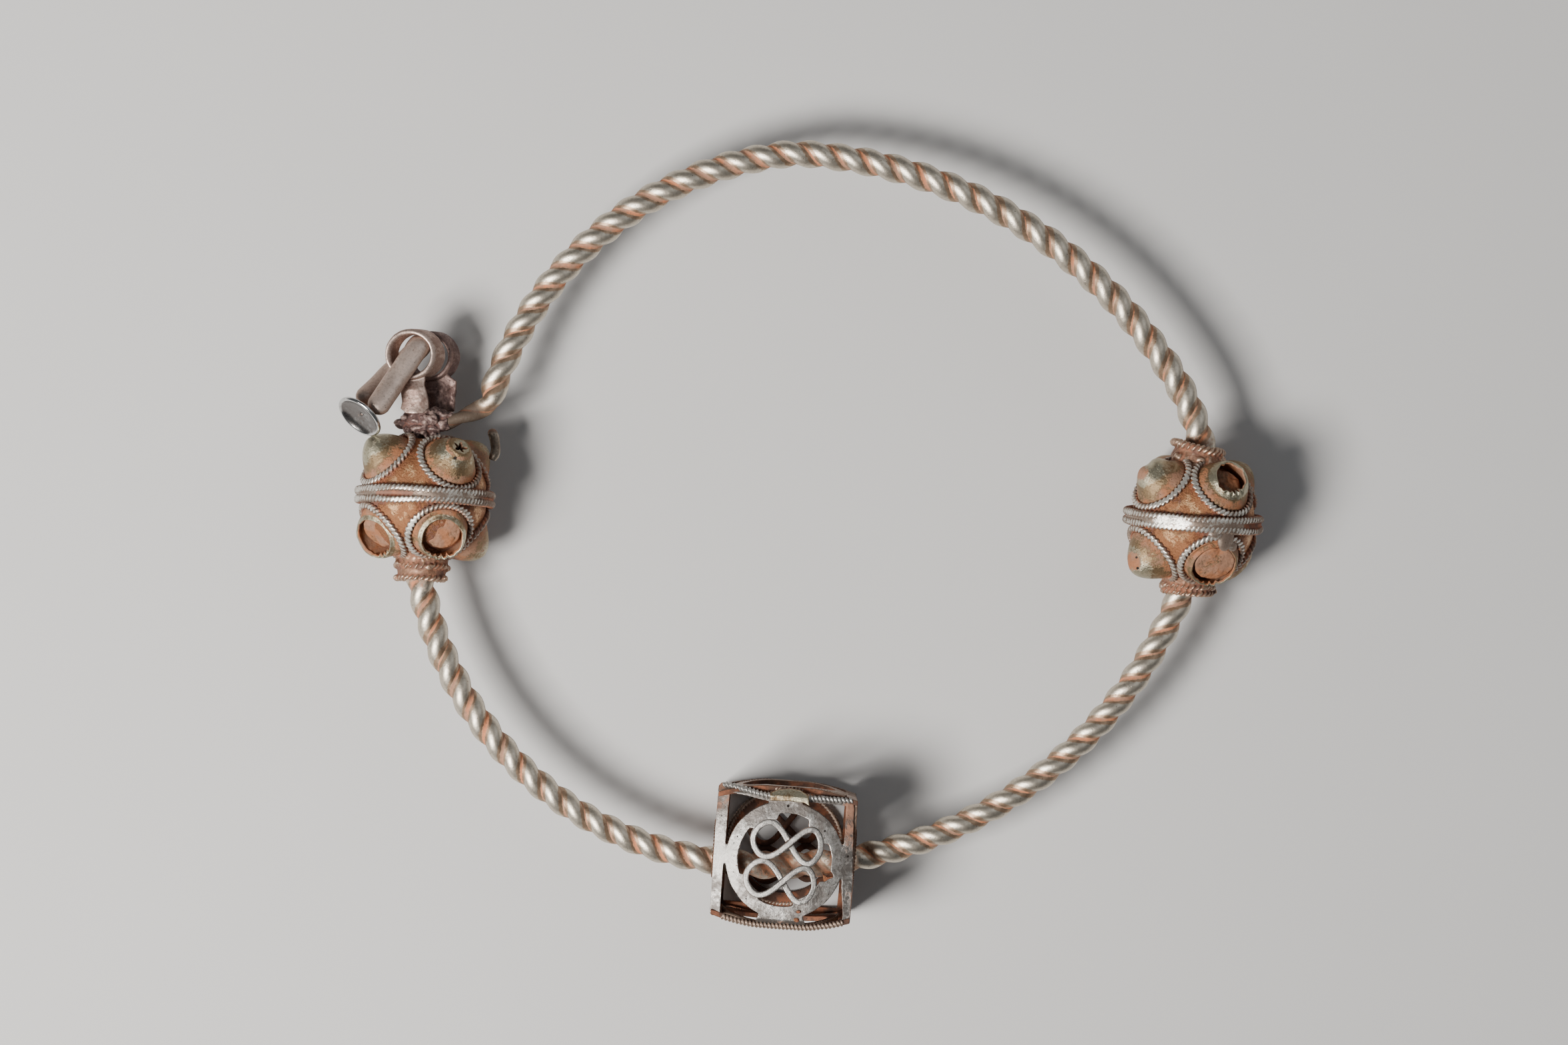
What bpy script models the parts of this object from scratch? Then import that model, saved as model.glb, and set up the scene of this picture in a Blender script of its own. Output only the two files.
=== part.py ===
"""A worn silver hoop earring: a twisted wire hoop with two bossed beads and one openwork bead.

The hoop lies flat. +X runs along its width, +Y points to the top of the hoop and +Z up.
The origin is the middle of the footprint, on the surface that the earring lies on.
"""

import math

import bmesh
import bpy
from mathutils import Matrix, Vector
from mathutils.geometry import tessellate_polygon

MM = 0.001
FULL_TURN = 2.0 * math.pi
CLEARANCE = 0.05 * MM

# Hoop: two wires twisted together, bent in a plane.
HOOP_HEIGHT = 5.95 * MM
HOOP_RADIUS = 1.22 * MM
HOOP_LOBE_RADIUS = 0.72 * HOOP_RADIUS
HOOP_LOBE_OFFSET = HOOP_RADIUS - HOOP_LOBE_RADIUS
HOOP_PITCH = 4.7 * MM
HOOP_SIDES = 6
HOOP_STEPS_PER_PITCH = 5
HOOP_START = (-25.76 * MM, 12.46 * MM)
HOOP_START_HEADING = math.radians(70.9)
# Each bend is (length along the wire, bend radius); every bend turns to the right.
HOOP_BENDS = (
    (32.9 * MM, 29.4 * MM),
    (2.0 * MM, 10.7 * MM),
    (37.8 * MM, 39.3 * MM),
    (14.2 * MM, 17.6 * MM),
    (49.2 * MM, 36.8 * MM),
    (6.4 * MM, 35.6 * MM),
    (39.6 * MM, 28.9 * MM),
)
# The flattened tail that turns back to the clasp, from its tip to the start of the bends.
TAIL_POINTS = ((-29.0, 9.75), (-28.2, 10.1), (-27.3, 10.45), (-26.5, 10.85), (-26.05, 11.3))
TAIL_SCALES = (0.34, 0.5, 0.66, 0.84, 0.96)

# Bossed beads: a hollow ball of sheet with a hole at each pole.
BEAD_RADIUS = 5.2 * MM
BEAD_WALL = 0.35 * MM
BEAD_BORE = 1.85 * MM
BEAD_SEGMENTS = 14
LEFT_BEAD_CENTRE = Vector((-31.6, 3.2, 5.92)) * MM
LEFT_BEAD_LEAN = math.radians(2.3)
LEFT_BEAD_TILT = math.radians(2.8)
RIGHT_BEAD_CENTRE = Vector((33.0, 1.35, 5.92)) * MM
RIGHT_BEAD_LEAN = math.radians(4.0)
RIGHT_BEAD_TILT = math.radians(-4.0)

# Bosses: four hollow domes in each row, above and below the equator.
BOSS_ROW_COUNT = 4
BOSS_LATITUDE = math.radians(40.0)
BOSS_RADIUS = 2.4 * MM
BOSS_HEIGHT = 2.35 * MM
BOSS_WALL = 0.25 * MM
BOSS_SEGMENTS = 9
BOSS_TIP_RADIUS = 0.8 * MM
BOSS_BROKEN_RADIUS = 1.95 * MM
BOSS_JAG = 0.14 * MM

# Twisted trimming wires on the bossed beads.
TRIM_WIRE_RADIUS = 0.25 * MM
TRIM_RING_RADIUS = 2.7 * MM
TRIM_SEGMENTS = 10
BAND_WIRE_RADIUS = 0.36 * MM
BAND_RADIUS = 5.96 * MM
BAND_SEGMENTS = 22
COLLAR_THICKNESS = 0.52 * MM
COLLAR_HEIGHTS = {"left": 1.5 * MM, "right": 1.15 * MM}
COLLAR_RADIUS = 2.35 * MM
COLLAR_BASES = {"left": 5.62 * MM, "right": 5.47 * MM}
COLLAR_SEGMENTS = 12

# Openwork bead: four bowed panels and two end plates round the hoop.
CAGE_CENTRE = Vector((-1.4, -26.7, 5.95)) * MM
CAGE_TURN = math.radians(-4.0)
CAGE_LENGTH = 11.6 * MM
CAGE_END_HALF = 5.15 * MM
CAGE_MID_HALF = 5.95 * MM
CAGE_FLAT_HALF = 1.7 * MM
CAGE_BOW_LINES = (-3.9 * MM, -1.7 * MM, 1.7 * MM, 3.9 * MM)
CAGE_SHEET = 0.45 * MM
CAGE_BAR = 0.85 * MM
CAGE_BAR_LEAN = 0.7 * MM
CAGE_EDGE_BAR = 0.45 * MM
CAGE_RING_OUTER = 5.25 * MM
CAGE_RING_INNER = 3.86 * MM
CAGE_RING_SEGMENTS = 16
CAGE_HOLE = 2.1 * MM
SCROLL_REACH = 2.85 * MM
SCROLL_SWELL = (1.33 * MM, -0.17 * MM)
SCROLL_HALF_HEIGHT = 1.62 * MM
SCROLL_WIRE_RADIUS = 0.18 * MM
SCROLL_CROSSING = 0.24 * MM
SCROLL_STEPS = 18
SCROLL_TURN = math.radians(-6.5)
TAB_SIZE = (3.2 * MM, 1.2 * MM, 0.32 * MM)
TAB_CENTRE = (0.12 * MM, 5.0 * MM)

# Clasp: two eyes on leaves, a bent strap hung in them and the button on the strap.
EYE_INNER = 1.75 * MM
EYE_OUTER = 2.15 * MM
EYE_SEGMENTS = 16
EYE_LEAN = 0.6
FRONT_EYE_CENTRE = Vector((-32.4, 15.2, 6.75)) * MM
FRONT_EYE_DEPTH = 0.9 * MM
BACK_EYE_CENTRE = Vector((-31.2, 15.1, 4.6)) * MM
BACK_EYE_DEPTH = 0.7 * MM
FRONT_LEAF = ((-33.4, 13.35), (-33.3, 10.75), (-31.2, 10.75), (-31.5, 13.6))
BACK_LEAF = ((-32.0, 13.5), (-31.3, 10.75), (-29.2, 10.75), (-29.6, 13.7))
STRAP_WIDTH = 1.55 * MM
STRAP_THICKNESS = 0.38 * MM
STRAP_PATH = (
    (-35.45, 10.2, 9.95), (-34.7, 11.35, 9.1), (-33.9, 12.6, 8.3), (-33.1, 13.9, 7.8),
    (-32.45, 14.9, 7.65), (-31.95, 15.55, 7.3), (-31.8, 15.75, 6.75), (-31.95, 15.55, 6.2),
    (-32.6, 15.0, 5.88), (-33.6, 14.3, 5.85), (-34.6, 13.4, 5.95), (-35.6, 12.4, 6.9),
    (-36.4, 11.5, 7.9), (-36.85, 10.95, 8.45),
)
BUTTON_CENTRE = Vector((-36.75, 10.0, 9.1)) * MM
BUTTON_RADIUS = 2.15 * MM
BUTTON_NORMAL = Vector((-0.54, -0.67, 0.51)).normalized()
CRUST_CENTRE = Vector((-0.55, 0.0, 6.45)) * MM
CRUST_SIZE = (2.5 * MM, 1.75 * MM, 0.95 * MM)
STUB_RADIUS = 0.44 * MM
STUB_PATH = (
    (-26.15, 8.95, 4.9), (-25.85, 8.35, 4.9), (-25.7, 7.6, 5.0), (-25.7, 6.9, 5.1), (-25.95, 6.2, 5.2),
)

SILVER = ("worn_silver", (0.70, 0.64, 0.57), 0.38, 1.0)
SHEET = ("coppery_sheet", (0.72, 0.45, 0.31), 0.50, 0.9)
BOSS_SILVER = ("boss_silver", (0.62, 0.57, 0.46), 0.40, 1.0)
TRIM_SILVER = ("trim_silver", (0.68, 0.64, 0.59), 0.42, 1.0)
CAGE_SILVER = ("cage_silver", (0.54, 0.51, 0.48), 0.45, 1.0)
CLASP_SILVER = ("clasp_silver", (0.53, 0.45, 0.41), 0.48, 0.9)
CRUST = ("dark_crust", (0.27, 0.18, 0.17), 0.80, 0.3)


def clear_scene():
    for obj in list(bpy.data.objects):
        bpy.data.objects.remove(obj, do_unlink=True)


def material(finish):
    name, colour, roughness, metallic = finish
    found = bpy.data.materials.get(name)
    if found:
        return found
    made = bpy.data.materials.new(name)
    made.use_nodes = True
    shader = made.node_tree.nodes["Principled BSDF"]
    shader.inputs["Base Color"].default_value = (*colour, 1.0)
    shader.inputs["Roughness"].default_value = roughness
    shader.inputs["Metallic"].default_value = metallic
    return made


def add_mesh(name, bm, finish, parent=None, matrix=None, sheet=False):
    """Makes the object. A closed body has its faces turned outwards; a sheet keeps its own."""
    if not sheet:
        bmesh.ops.recalc_face_normals(bm, faces=bm.faces)
    mesh = bpy.data.meshes.new(name)
    bm.to_mesh(mesh)
    bm.free()
    mesh.materials.append(material(finish))
    mesh.shade_smooth()
    mesh.set_sharp_from_angle(angle=math.radians(40.0))
    obj = bpy.data.objects.new(name, mesh)
    bpy.context.scene.collection.objects.link(obj)
    obj.parent = parent
    if matrix is not None:
        obj.matrix_local = matrix
    return obj


def add_frame(name, centre, rotation):
    frame = bpy.data.objects.new(name, None)
    bpy.context.scene.collection.objects.link(frame)
    frame.location = centre
    frame.rotation_euler = rotation
    return frame


def solidify(obj, thickness, offset):
    modifier = obj.modifiers.new("Sheet", "SOLIDIFY")
    modifier.thickness = thickness
    modifier.offset = offset
    modifier.use_even_offset = True
    return modifier


def revolve(profile, segments, closed=False):
    """A profile of (radius, height) points turned round Z."""
    bm = bmesh.new()
    verts = [bm.verts.new((radius, 0.0, height)) for radius, height in profile]
    count = len(verts) if closed else len(verts) - 1
    edges = [bm.edges.new((verts[i], verts[(i + 1) % len(verts)])) for i in range(count)]
    bmesh.ops.spin(
        bm,
        geom=verts + edges,
        cent=(0.0, 0.0, 0.0),
        axis=(0.0, 0.0, 1.0),
        angle=FULL_TURN,
        steps=segments,
        use_merge=True,
    )
    bmesh.ops.remove_doubles(bm, verts=bm.verts, dist=1e-7)
    return bm


def loft(rings, closed=False):
    """A tube through rings of points, with its two ends filled unless it closes on itself."""
    bm = bmesh.new()
    rows = [[bm.verts.new(point) for point in ring] for ring in rings]
    sides = len(rows[0])
    spans = len(rows) if closed else len(rows) - 1
    for i in range(spans):
        low = rows[i]
        high = rows[(i + 1) % len(rows)]
        for j in range(sides):
            k = (j + 1) % sides
            bm.faces.new((low[j], low[k], high[k], high[j]))
    if not closed:
        bm.faces.new(rows[0])
        bm.faces.new(rows[-1])
    return bm


def wire_curve(name, points, radius, finish, closed=True, sides=0, parent=None, matrix=None):
    """A round wire through the points, as a bevelled curve."""
    curve = bpy.data.curves.new(name, "CURVE")
    curve.dimensions = "3D"
    curve.bevel_depth = radius
    curve.bevel_resolution = sides
    curve.use_fill_caps = not closed
    spline = curve.splines.new("POLY")
    spline.points.add(len(points) - 1)
    for slot, point in zip(spline.points, points):
        slot.co = (*point, 1.0)
    spline.use_cyclic_u = closed
    curve.materials.append(material(finish))
    obj = bpy.data.objects.new(name, curve)
    bpy.context.scene.collection.objects.link(obj)
    obj.parent = parent
    if matrix is not None:
        obj.matrix_local = matrix
    return obj


def arc_points(radius, count, height=0.0, phase=0.0):
    """Points evenly round a circle about Z."""
    return [
        Vector((
            radius * math.cos(phase + FULL_TURN * i / count),
            radius * math.sin(phase + FULL_TURN * i / count),
            height,
        ))
        for i in range(count)
    ]


# ---------------------------------------------------------------- hoop


def hoop_stations():
    """(point, heading, scale) along the hoop, from the tail's tip round to the left bead."""
    step = HOOP_PITCH / HOOP_STEPS_PER_PITCH
    stations = []
    tail = [Vector((x, y)) * MM for x, y in TAIL_POINTS]
    tail_ends = tail + [Vector(HOOP_START)]
    for i, scale in enumerate(TAIL_SCALES):
        along = tail_ends[i + 1] - tail_ends[i]
        stations.append((tail[i], math.atan2(along.y, along.x), scale))
    x, y = HOOP_START
    heading = HOOP_START_HEADING
    for length, radius in HOOP_BENDS:
        steps = round(length / step)
        turn = length / steps / radius
        for _ in range(steps):
            stations.append((Vector((x, y)), heading, 1.0))
            chord = 2.0 * radius * math.sin(turn / 2.0)
            x += chord * math.cos(heading - turn / 2.0)
            y += chord * math.sin(heading - turn / 2.0)
            heading -= turn
    stations.append((Vector((x, y)), heading, 1.0))
    return stations


def lobed_radius(angle):
    """Outline of two touching round wires, seen end on."""
    across = HOOP_LOBE_OFFSET * math.sin(angle)
    along = HOOP_LOBE_OFFSET * abs(math.cos(angle))
    return along + math.sqrt(HOOP_LOBE_RADIUS**2 - across**2)


def build_hoop():
    rings = []
    for index, (point, heading, scale) in enumerate(hoop_stations()):
        twist = FULL_TURN * index / HOOP_STEPS_PER_PITCH
        side = Vector((-math.sin(heading), math.cos(heading), 0.0))
        ring = []
        for corner in range(HOOP_SIDES):
            angle = FULL_TURN * corner / HOOP_SIDES
            radius = lobed_radius(angle) * scale
            turned = angle + twist
            offset = side * math.cos(turned) + Vector((0.0, 0.0, 1.0)) * math.sin(turned)
            ring.append(Vector((point.x, point.y, HOOP_HEIGHT)) + offset * radius)
        rings.append(ring)
    return add_mesh("hoop", loft(rings), SILVER)


# ---------------------------------------------------------------- bossed beads


def bead_frame(name, centre, lean, tilt):
    """An empty whose Z is the bead's bore and whose -Y faces up."""
    return add_frame(name, centre, (-math.pi / 2.0 - tilt, 0.0, -lean))


def boss_direction(azimuth, row):
    latitude = BOSS_LATITUDE * row
    return Vector((
        math.cos(latitude) * math.sin(azimuth),
        -math.cos(latitude) * math.cos(azimuth),
        math.sin(latitude),
    ))


def facing(direction):
    return direction.to_track_quat("Z", "Y").to_matrix().to_4x4()


def build_bead_shell(side, frame):
    outer = BEAD_RADIUS
    inner = BEAD_RADIUS - BEAD_WALL
    outer_limit = math.asin(BEAD_BORE / outer)
    inner_limit = math.asin(BEAD_BORE / inner)
    profile = []
    for i in range(8):
        polar = outer_limit + (math.pi - 2.0 * outer_limit) * i / 7
        profile.append((outer * math.sin(polar), outer * math.cos(polar)))
    for i in range(5):
        polar = math.pi - inner_limit - (math.pi - 2.0 * inner_limit) * i / 4
        profile.append((inner * math.sin(polar), inner * math.cos(polar)))
    bm = revolve(profile, BEAD_SEGMENTS, closed=True)
    return add_mesh(f"{side}_bead_shell", bm, SHEET, frame)


def boss_profile(broken):
    """Dome from its foot to its tip, or to the broken rim, as (radius, height) points."""
    seat = BEAD_RADIUS + CLEARANCE
    foot = math.sqrt(seat**2 - (BOSS_RADIUS - BOSS_WALL) ** 2)
    end_radius = BOSS_BROKEN_RADIUS if broken else BOSS_TIP_RADIUS
    end_angle = math.acos(end_radius / BOSS_RADIUS)
    rows = 2
    points = []
    for i in range(rows + 1):
        angle = end_angle * i / rows
        points.append((BOSS_RADIUS * math.cos(angle), foot + BOSS_HEIGHT * math.sin(angle) ** 1.2))
    if not broken:
        points.append((0.0, points[-1][1] + 0.05 * BOSS_RADIUS))
    return points


def build_boss(name, frame, azimuth, row, broken):
    bm = revolve(boss_profile(broken), BOSS_SEGMENTS)
    if broken:
        top = max(vert.co.z for vert in bm.verts)
        for vert in bm.verts:
            if vert.co.z > top - BOSS_JAG:
                around = math.atan2(vert.co.y, vert.co.x)
                vert.co.z += BOSS_JAG * math.sin(3.0 * around + azimuth)
    obj = add_mesh(name, bm, BOSS_SILVER, frame, facing(boss_direction(azimuth, row)))
    solidify(obj, BOSS_WALL, -1.0)
    return obj


def build_trim_ring(name, frame, azimuth, row):
    """The twisted wire round the foot of a boss."""
    seat = BEAD_RADIUS + CLEARANCE + TRIM_WIRE_RADIUS
    height = math.sqrt(seat**2 - TRIM_RING_RADIUS**2)
    points = arc_points(TRIM_RING_RADIUS, TRIM_SEGMENTS, height)
    matrix = facing(boss_direction(azimuth, row))
    return wire_curve(name, points, TRIM_WIRE_RADIUS, TRIM_SILVER, parent=frame, matrix=matrix)


def paired_wire_profile(outer, thickness, base, height):
    """Two wires lying one on the other, as a closed outline with its outer side first."""
    inner = outer - thickness
    middle = outer - 0.5 * thickness
    return (
        (middle, base),
        (outer, base + 0.15 * height),
        (outer, base + 0.35 * height),
        (outer - 0.18 * thickness, base + 0.5 * height),
        (outer, base + 0.65 * height),
        (outer, base + 0.85 * height),
        (middle, base + height),
        (inner, base + 0.5 * height),
    )


def build_band(side, frame):
    wire = BAND_WIRE_RADIUS
    profile = paired_wire_profile(BAND_RADIUS, 2.0 * wire, -2.0 * wire, 4.0 * wire)
    bm = revolve(profile, BAND_SEGMENTS, closed=True)
    return add_mesh(f"{side}_bead_band", bm, TRIM_SILVER, frame)


def build_collar(side, label, frame, end):
    base = COLLAR_BASES[side]
    profile = paired_wire_profile(COLLAR_RADIUS, COLLAR_THICKNESS, base, COLLAR_HEIGHTS[side])
    bm = revolve(profile, COLLAR_SEGMENTS, closed=True)
    if end < 0:
        bmesh.ops.rotate(bm, verts=bm.verts, cent=(0, 0, 0), matrix=Matrix.Rotation(math.pi, 3, "X"))
    return add_mesh(f"{side}_bead_{label}_collar", bm, TRIM_SILVER, frame)


def build_bossed_bead(side, centre, lean, tilt, first_azimuth, broken):
    """One bead: shell, two rows of bosses with their wires, band and lower collar."""
    frame = bead_frame(f"{side}_bead", centre, lean, tilt)
    build_bead_shell(side, frame)
    for row, label in ((1, "upper"), (-1, "lower")):
        for index in range(BOSS_ROW_COUNT):
            azimuth = math.radians(first_azimuth[label]) + FULL_TURN * index / BOSS_ROW_COUNT
            place = f"{side}_{label}_boss_{index + 1}"
            build_boss(place, frame, azimuth, row, (label, index) in broken)
            build_trim_ring(f"{place}_wire", frame, azimuth, row)
    build_band(side, frame)
    build_collar(side, "lower", frame, -1)
    return frame


# ---------------------------------------------------------------- openwork bead


def cage_half(x):
    """Half the bead's thickness at x along the hoop: flat in the middle, less at the ends."""
    reach = (abs(x) - CAGE_FLAT_HALF) / (CAGE_LENGTH / 2.0 - CAGE_FLAT_HALF)
    return CAGE_MID_HALF - (CAGE_MID_HALF - CAGE_END_HALF) * max(0.0, reach) ** 1.6


def cage_side_outline(half):
    """Bowed outline of a panel, anticlockwise, with its long edges stepped to follow the bow."""
    end = CAGE_LENGTH / 2.0
    xs = (-end, *CAGE_BOW_LINES, end)
    lower = [(x, -half(x)) for x in xs]
    upper = [(x, half(x)) for x in reversed(xs)]
    return lower + upper


def spandrel(x_sign, y_sign, half, ring):
    """The open corner between the ring and the frame's bars."""
    corner_x = CAGE_LENGTH / 2.0 - CAGE_BAR
    start = math.acos(min(1.0, corner_x / ring)) + math.radians(3.0)
    finish = math.radians(75.0)
    curve = []
    for i in range(4):
        angle = start + (finish - start) * i / 3
        curve.append((ring * math.cos(angle), ring * math.sin(angle)))
    top_x = curve[-1][0]
    points = [(corner_x, curve[0][1])]
    points += curve[1:]
    points += [(top_x + 0.2 * MM, half(top_x) - CAGE_EDGE_BAR)]
    points += [(corner_x, half(corner_x) - CAGE_EDGE_BAR)]
    return [(x * x_sign, y * y_sign) for x, y in points]


def flat_sheet(outline, holes):
    """Flat sheet inside the outline and round its holes, facing +Z."""
    loops = [[Vector((x, y, 0.0)) for x, y in loop] for loop in [outline] + holes]
    bm = bmesh.new()
    verts = [bm.verts.new(point) for loop in loops for point in loop]
    for corners in tessellate_polygon(loops):
        bm.faces.new([verts[i] for i in corners])
    bmesh.ops.dissolve_limit(bm, angle_limit=0.01, verts=bm.verts, edges=bm.edges)
    bmesh.ops.recalc_face_normals(bm, faces=bm.faces)
    if sum(face.normal.z for face in bm.faces) < 0.0:
        bmesh.ops.reverse_faces(bm, faces=bm.faces)
    return bm


def build_panel(name, frame, quarter, trim, lean):
    """A bowed panel: frame bars, ring and open corners, standing a quarter turn on from the last."""
    def half(x):
        return cage_half(x) - trim

    centre = [(p.x, p.y) for p in arc_points(CAGE_RING_INNER, CAGE_RING_SEGMENTS)]
    ring = CAGE_RING_OUTER - trim
    holes = [centre] + [spandrel(sx, sy, half, ring) for sx in (1, -1) for sy in (1, -1)]
    bm = flat_sheet(cage_side_outline(half), holes)
    for x in CAGE_BOW_LINES:
        everything = bm.verts[:] + bm.edges[:] + bm.faces[:]
        bmesh.ops.bisect_plane(
            bm, geom=everything, dist=1e-7, plane_co=(x, 0.0, 0.0), plane_no=(1.0, 0.0, 0.0)
        )
    for vert in bm.verts:
        vert.co.z = cage_half(vert.co.x)
        outward = max(0.0, (vert.co.x - CAGE_RING_INNER) / (CAGE_LENGTH / 2.0 - CAGE_RING_INNER))
        upward = 0.5 + 0.5 * vert.co.y / CAGE_MID_HALF
        vert.co.x -= lean * outward * upward
    turn = Matrix.Rotation(quarter * math.pi / 2.0, 4, "X")
    obj = add_mesh(name, bm, CAGE_SILVER, frame, turn, sheet=True)
    solidify(obj, CAGE_SHEET, -1.0)
    return obj


def scroll_path(row):
    """One figure of eight, lying on its side, with one strand passing over the other."""
    points = []
    for i in range(SCROLL_STEPS):
        turn = FULL_TURN * i / SCROLL_STEPS
        wave = SCROLL_SWELL[0] * math.sin(2.0 * turn) + SCROLL_SWELL[1] * math.sin(4.0 * turn)
        points.append(Vector((
            SCROLL_REACH * math.cos(turn),
            row * SCROLL_HALF_HEIGHT + wave,
            SCROLL_CROSSING * math.sin(turn) ** 5,
        )))
    return points


def build_scrolls(name, frame, quarter):
    """Two figures of eight that fill a panel's ring."""
    turn = Matrix.Rotation(quarter * math.pi / 2.0, 4, "X")
    height = CAGE_MID_HALF - CAGE_SHEET
    matrix = turn @ Matrix.Translation((0.0, 0.0, height)) @ Matrix.Rotation(SCROLL_TURN, 4, "Z")
    for row, label in ((1, "upper"), (-1, "lower")):
        wire_curve(
            f"{name}_{label}_scroll", scroll_path(row), SCROLL_WIRE_RADIUS, CAGE_SILVER,
            parent=frame, matrix=matrix,
        )


def build_tab(frame):
    """Small plate soldered over the front panel's edge."""
    bm = bmesh.new()
    bmesh.ops.create_cube(bm, size=1.0)
    bmesh.ops.scale(bm, vec=TAB_SIZE, verts=bm.verts)
    bmesh.ops.bevel(
        bm, geom=bm.edges, offset=0.12 * MM, segments=1, affect="EDGES", profile=0.5
    )
    height = CAGE_MID_HALF + CLEARANCE + TAB_SIZE[2] / 2.0
    place = Matrix.Translation((TAB_CENTRE[0], TAB_CENTRE[1], height))
    add_mesh("openwork_tab", bm, CLASP_SILVER, frame, place)


def build_end_plate(name, frame, side):
    """Square plate closing one end, with the hole that the hoop passes through."""
    half = CAGE_END_HALF - CAGE_SHEET - 2.0 * CLEARANCE
    outline = [(-half, -half), (half, -half), (half, half), (-half, half)]
    hole = [(p.x, p.y) for p in arc_points(CAGE_HOLE, 12)]
    bm = flat_sheet(outline, [hole])
    face_out = Matrix.Rotation(side * math.pi / 2.0, 4, "Y")
    place = face_out @ Matrix.Translation((0.0, 0.0, CAGE_LENGTH / 2.0))
    obj = add_mesh(name, bm, CAGE_SILVER, frame, place, sheet=True)
    solidify(obj, CAGE_SHEET, -1.0)
    return obj


def build_cage():
    frame = add_frame("openwork_bead", CAGE_CENTRE, (0.0, 0.0, CAGE_TURN))
    side_trim = CAGE_SHEET + 2.0 * CLEARANCE
    panels = (
        ("front", 0, 0.0, CAGE_BAR_LEAN),
        ("outer", 1, side_trim + CLEARANCE, 0.0),
        ("back", 2, 0.0, 0.0),
        ("inner", 3, side_trim, 0.0),
    )
    for name, quarter, trim, lean in panels:
        build_panel(f"openwork_{name}_panel", frame, quarter, trim, lean)
    build_end_plate("openwork_left_end", frame, -1)
    build_end_plate("openwork_right_end", frame, 1)
    build_scrolls("openwork_front", frame, 0)
    build_scrolls("openwork_back", frame, 2)
    build_tab(frame)


# ---------------------------------------------------------------- clasp


def prism(outline, thickness):
    """An outline of (x, y) points given thickness about z = 0."""
    bm = bmesh.new()
    verts = [bm.verts.new((x, y, -thickness / 2.0)) for x, y in outline]
    face = bm.faces.new(verts)
    grown = bmesh.ops.extrude_face_region(bm, geom=[face])["geom"]
    moved = [item for item in grown if isinstance(item, bmesh.types.BMVert)]
    bmesh.ops.translate(bm, vec=(0.0, 0.0, thickness), verts=moved)
    return bm


def build_eye(name, centre, depth, leaf):
    """A ring pushed over to one side, with a leaf below it, in one piece."""
    profile = (
        (EYE_INNER, -depth / 2.0),
        (EYE_INNER, depth / 2.0),
        (EYE_OUTER, depth / 2.0),
        (EYE_OUTER, -depth / 2.0),
    )
    ring = revolve(profile, EYE_SEGMENTS, closed=True)
    for vert in ring.verts:
        vert.co.x -= EYE_LEAN * vert.co.z
    eye = add_mesh(name, ring, CLASP_SILVER, matrix=Matrix.Translation(centre))
    outline = [(x * MM, y * MM) for x, y in leaf]
    place = Matrix.Translation((0.0, 0.0, centre.z))
    helper = add_mesh(f"{name}_leaf", prism(outline, 0.72 * depth), CLASP_SILVER, matrix=place)
    helper.hide_render = True
    helper.display_type = "WIRE"
    join = eye.modifiers.new("Leaf", "BOOLEAN")
    join.operation = "UNION"
    join.solver = "EXACT"
    join.object = helper


def build_strap():
    """Flat strip bent back on itself."""
    path = [Vector(point) * MM for point in STRAP_PATH]
    lead = path[0] - path[4]
    across = Vector((0.0, 0.0, 1.0)).cross(lead).normalized() * STRAP_WIDTH / 2.0
    rings = []
    for i, point in enumerate(path):
        along = path[min(i + 1, len(path) - 1)] - path[max(i - 1, 0)]
        out = along.cross(across).normalized() * STRAP_THICKNESS / 2.0
        corners = (across + out, across - out, -across - out, -across + out)
        rings.append([point + corner for corner in corners])
    add_mesh("clasp_strap", loft(rings), CLASP_SILVER)


def build_button():
    """Dished disc with a raised rim."""
    profile = (
        (0.0, -0.26 * MM),
        (1.85 * MM, -0.26 * MM),
        (BUTTON_RADIUS, -0.02 * MM),
        (2.05 * MM, 0.24 * MM),
        (1.75 * MM, 0.26 * MM),
        (1.5 * MM, 0.06 * MM),
        (0.0, -0.04 * MM),
    )
    place = Matrix.Translation(BUTTON_CENTRE) @ facing(BUTTON_NORMAL)
    add_mesh("clasp_button", revolve(profile, 18), CLASP_SILVER, matrix=place)


def build_crust(frame):
    """Lump of old solder and dirt round the neck, on top of the left bead."""
    bm = bmesh.new()
    bmesh.ops.create_uvsphere(bm, u_segments=12, v_segments=6, radius=1.0)
    for vert in bm.verts:
        around = math.atan2(vert.co.y, vert.co.x)
        lump = 1.0 + 0.05 * math.sin(3.0 * around) + 0.04 * math.cos(5.0 * around)
        vert.co.x *= lump * CRUST_SIZE[0]
        vert.co.y *= lump * CRUST_SIZE[1]
        vert.co.z *= CRUST_SIZE[2]
    add_mesh("left_bead_neck_crust", bm, CRUST, frame, Matrix.Translation(CRUST_CENTRE))


def build_clasp(left_frame):
    build_eye("clasp_front_eye", FRONT_EYE_CENTRE, FRONT_EYE_DEPTH, FRONT_LEAF)
    build_eye("clasp_back_eye", BACK_EYE_CENTRE, BACK_EYE_DEPTH, BACK_LEAF)
    build_strap()
    build_button()
    build_crust(left_frame)
    stub = [Vector(point) * MM for point in STUB_PATH]
    wire_curve("hook_stub", stub, STUB_RADIUS, CLASP_SILVER, closed=False, sides=1)


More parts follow.
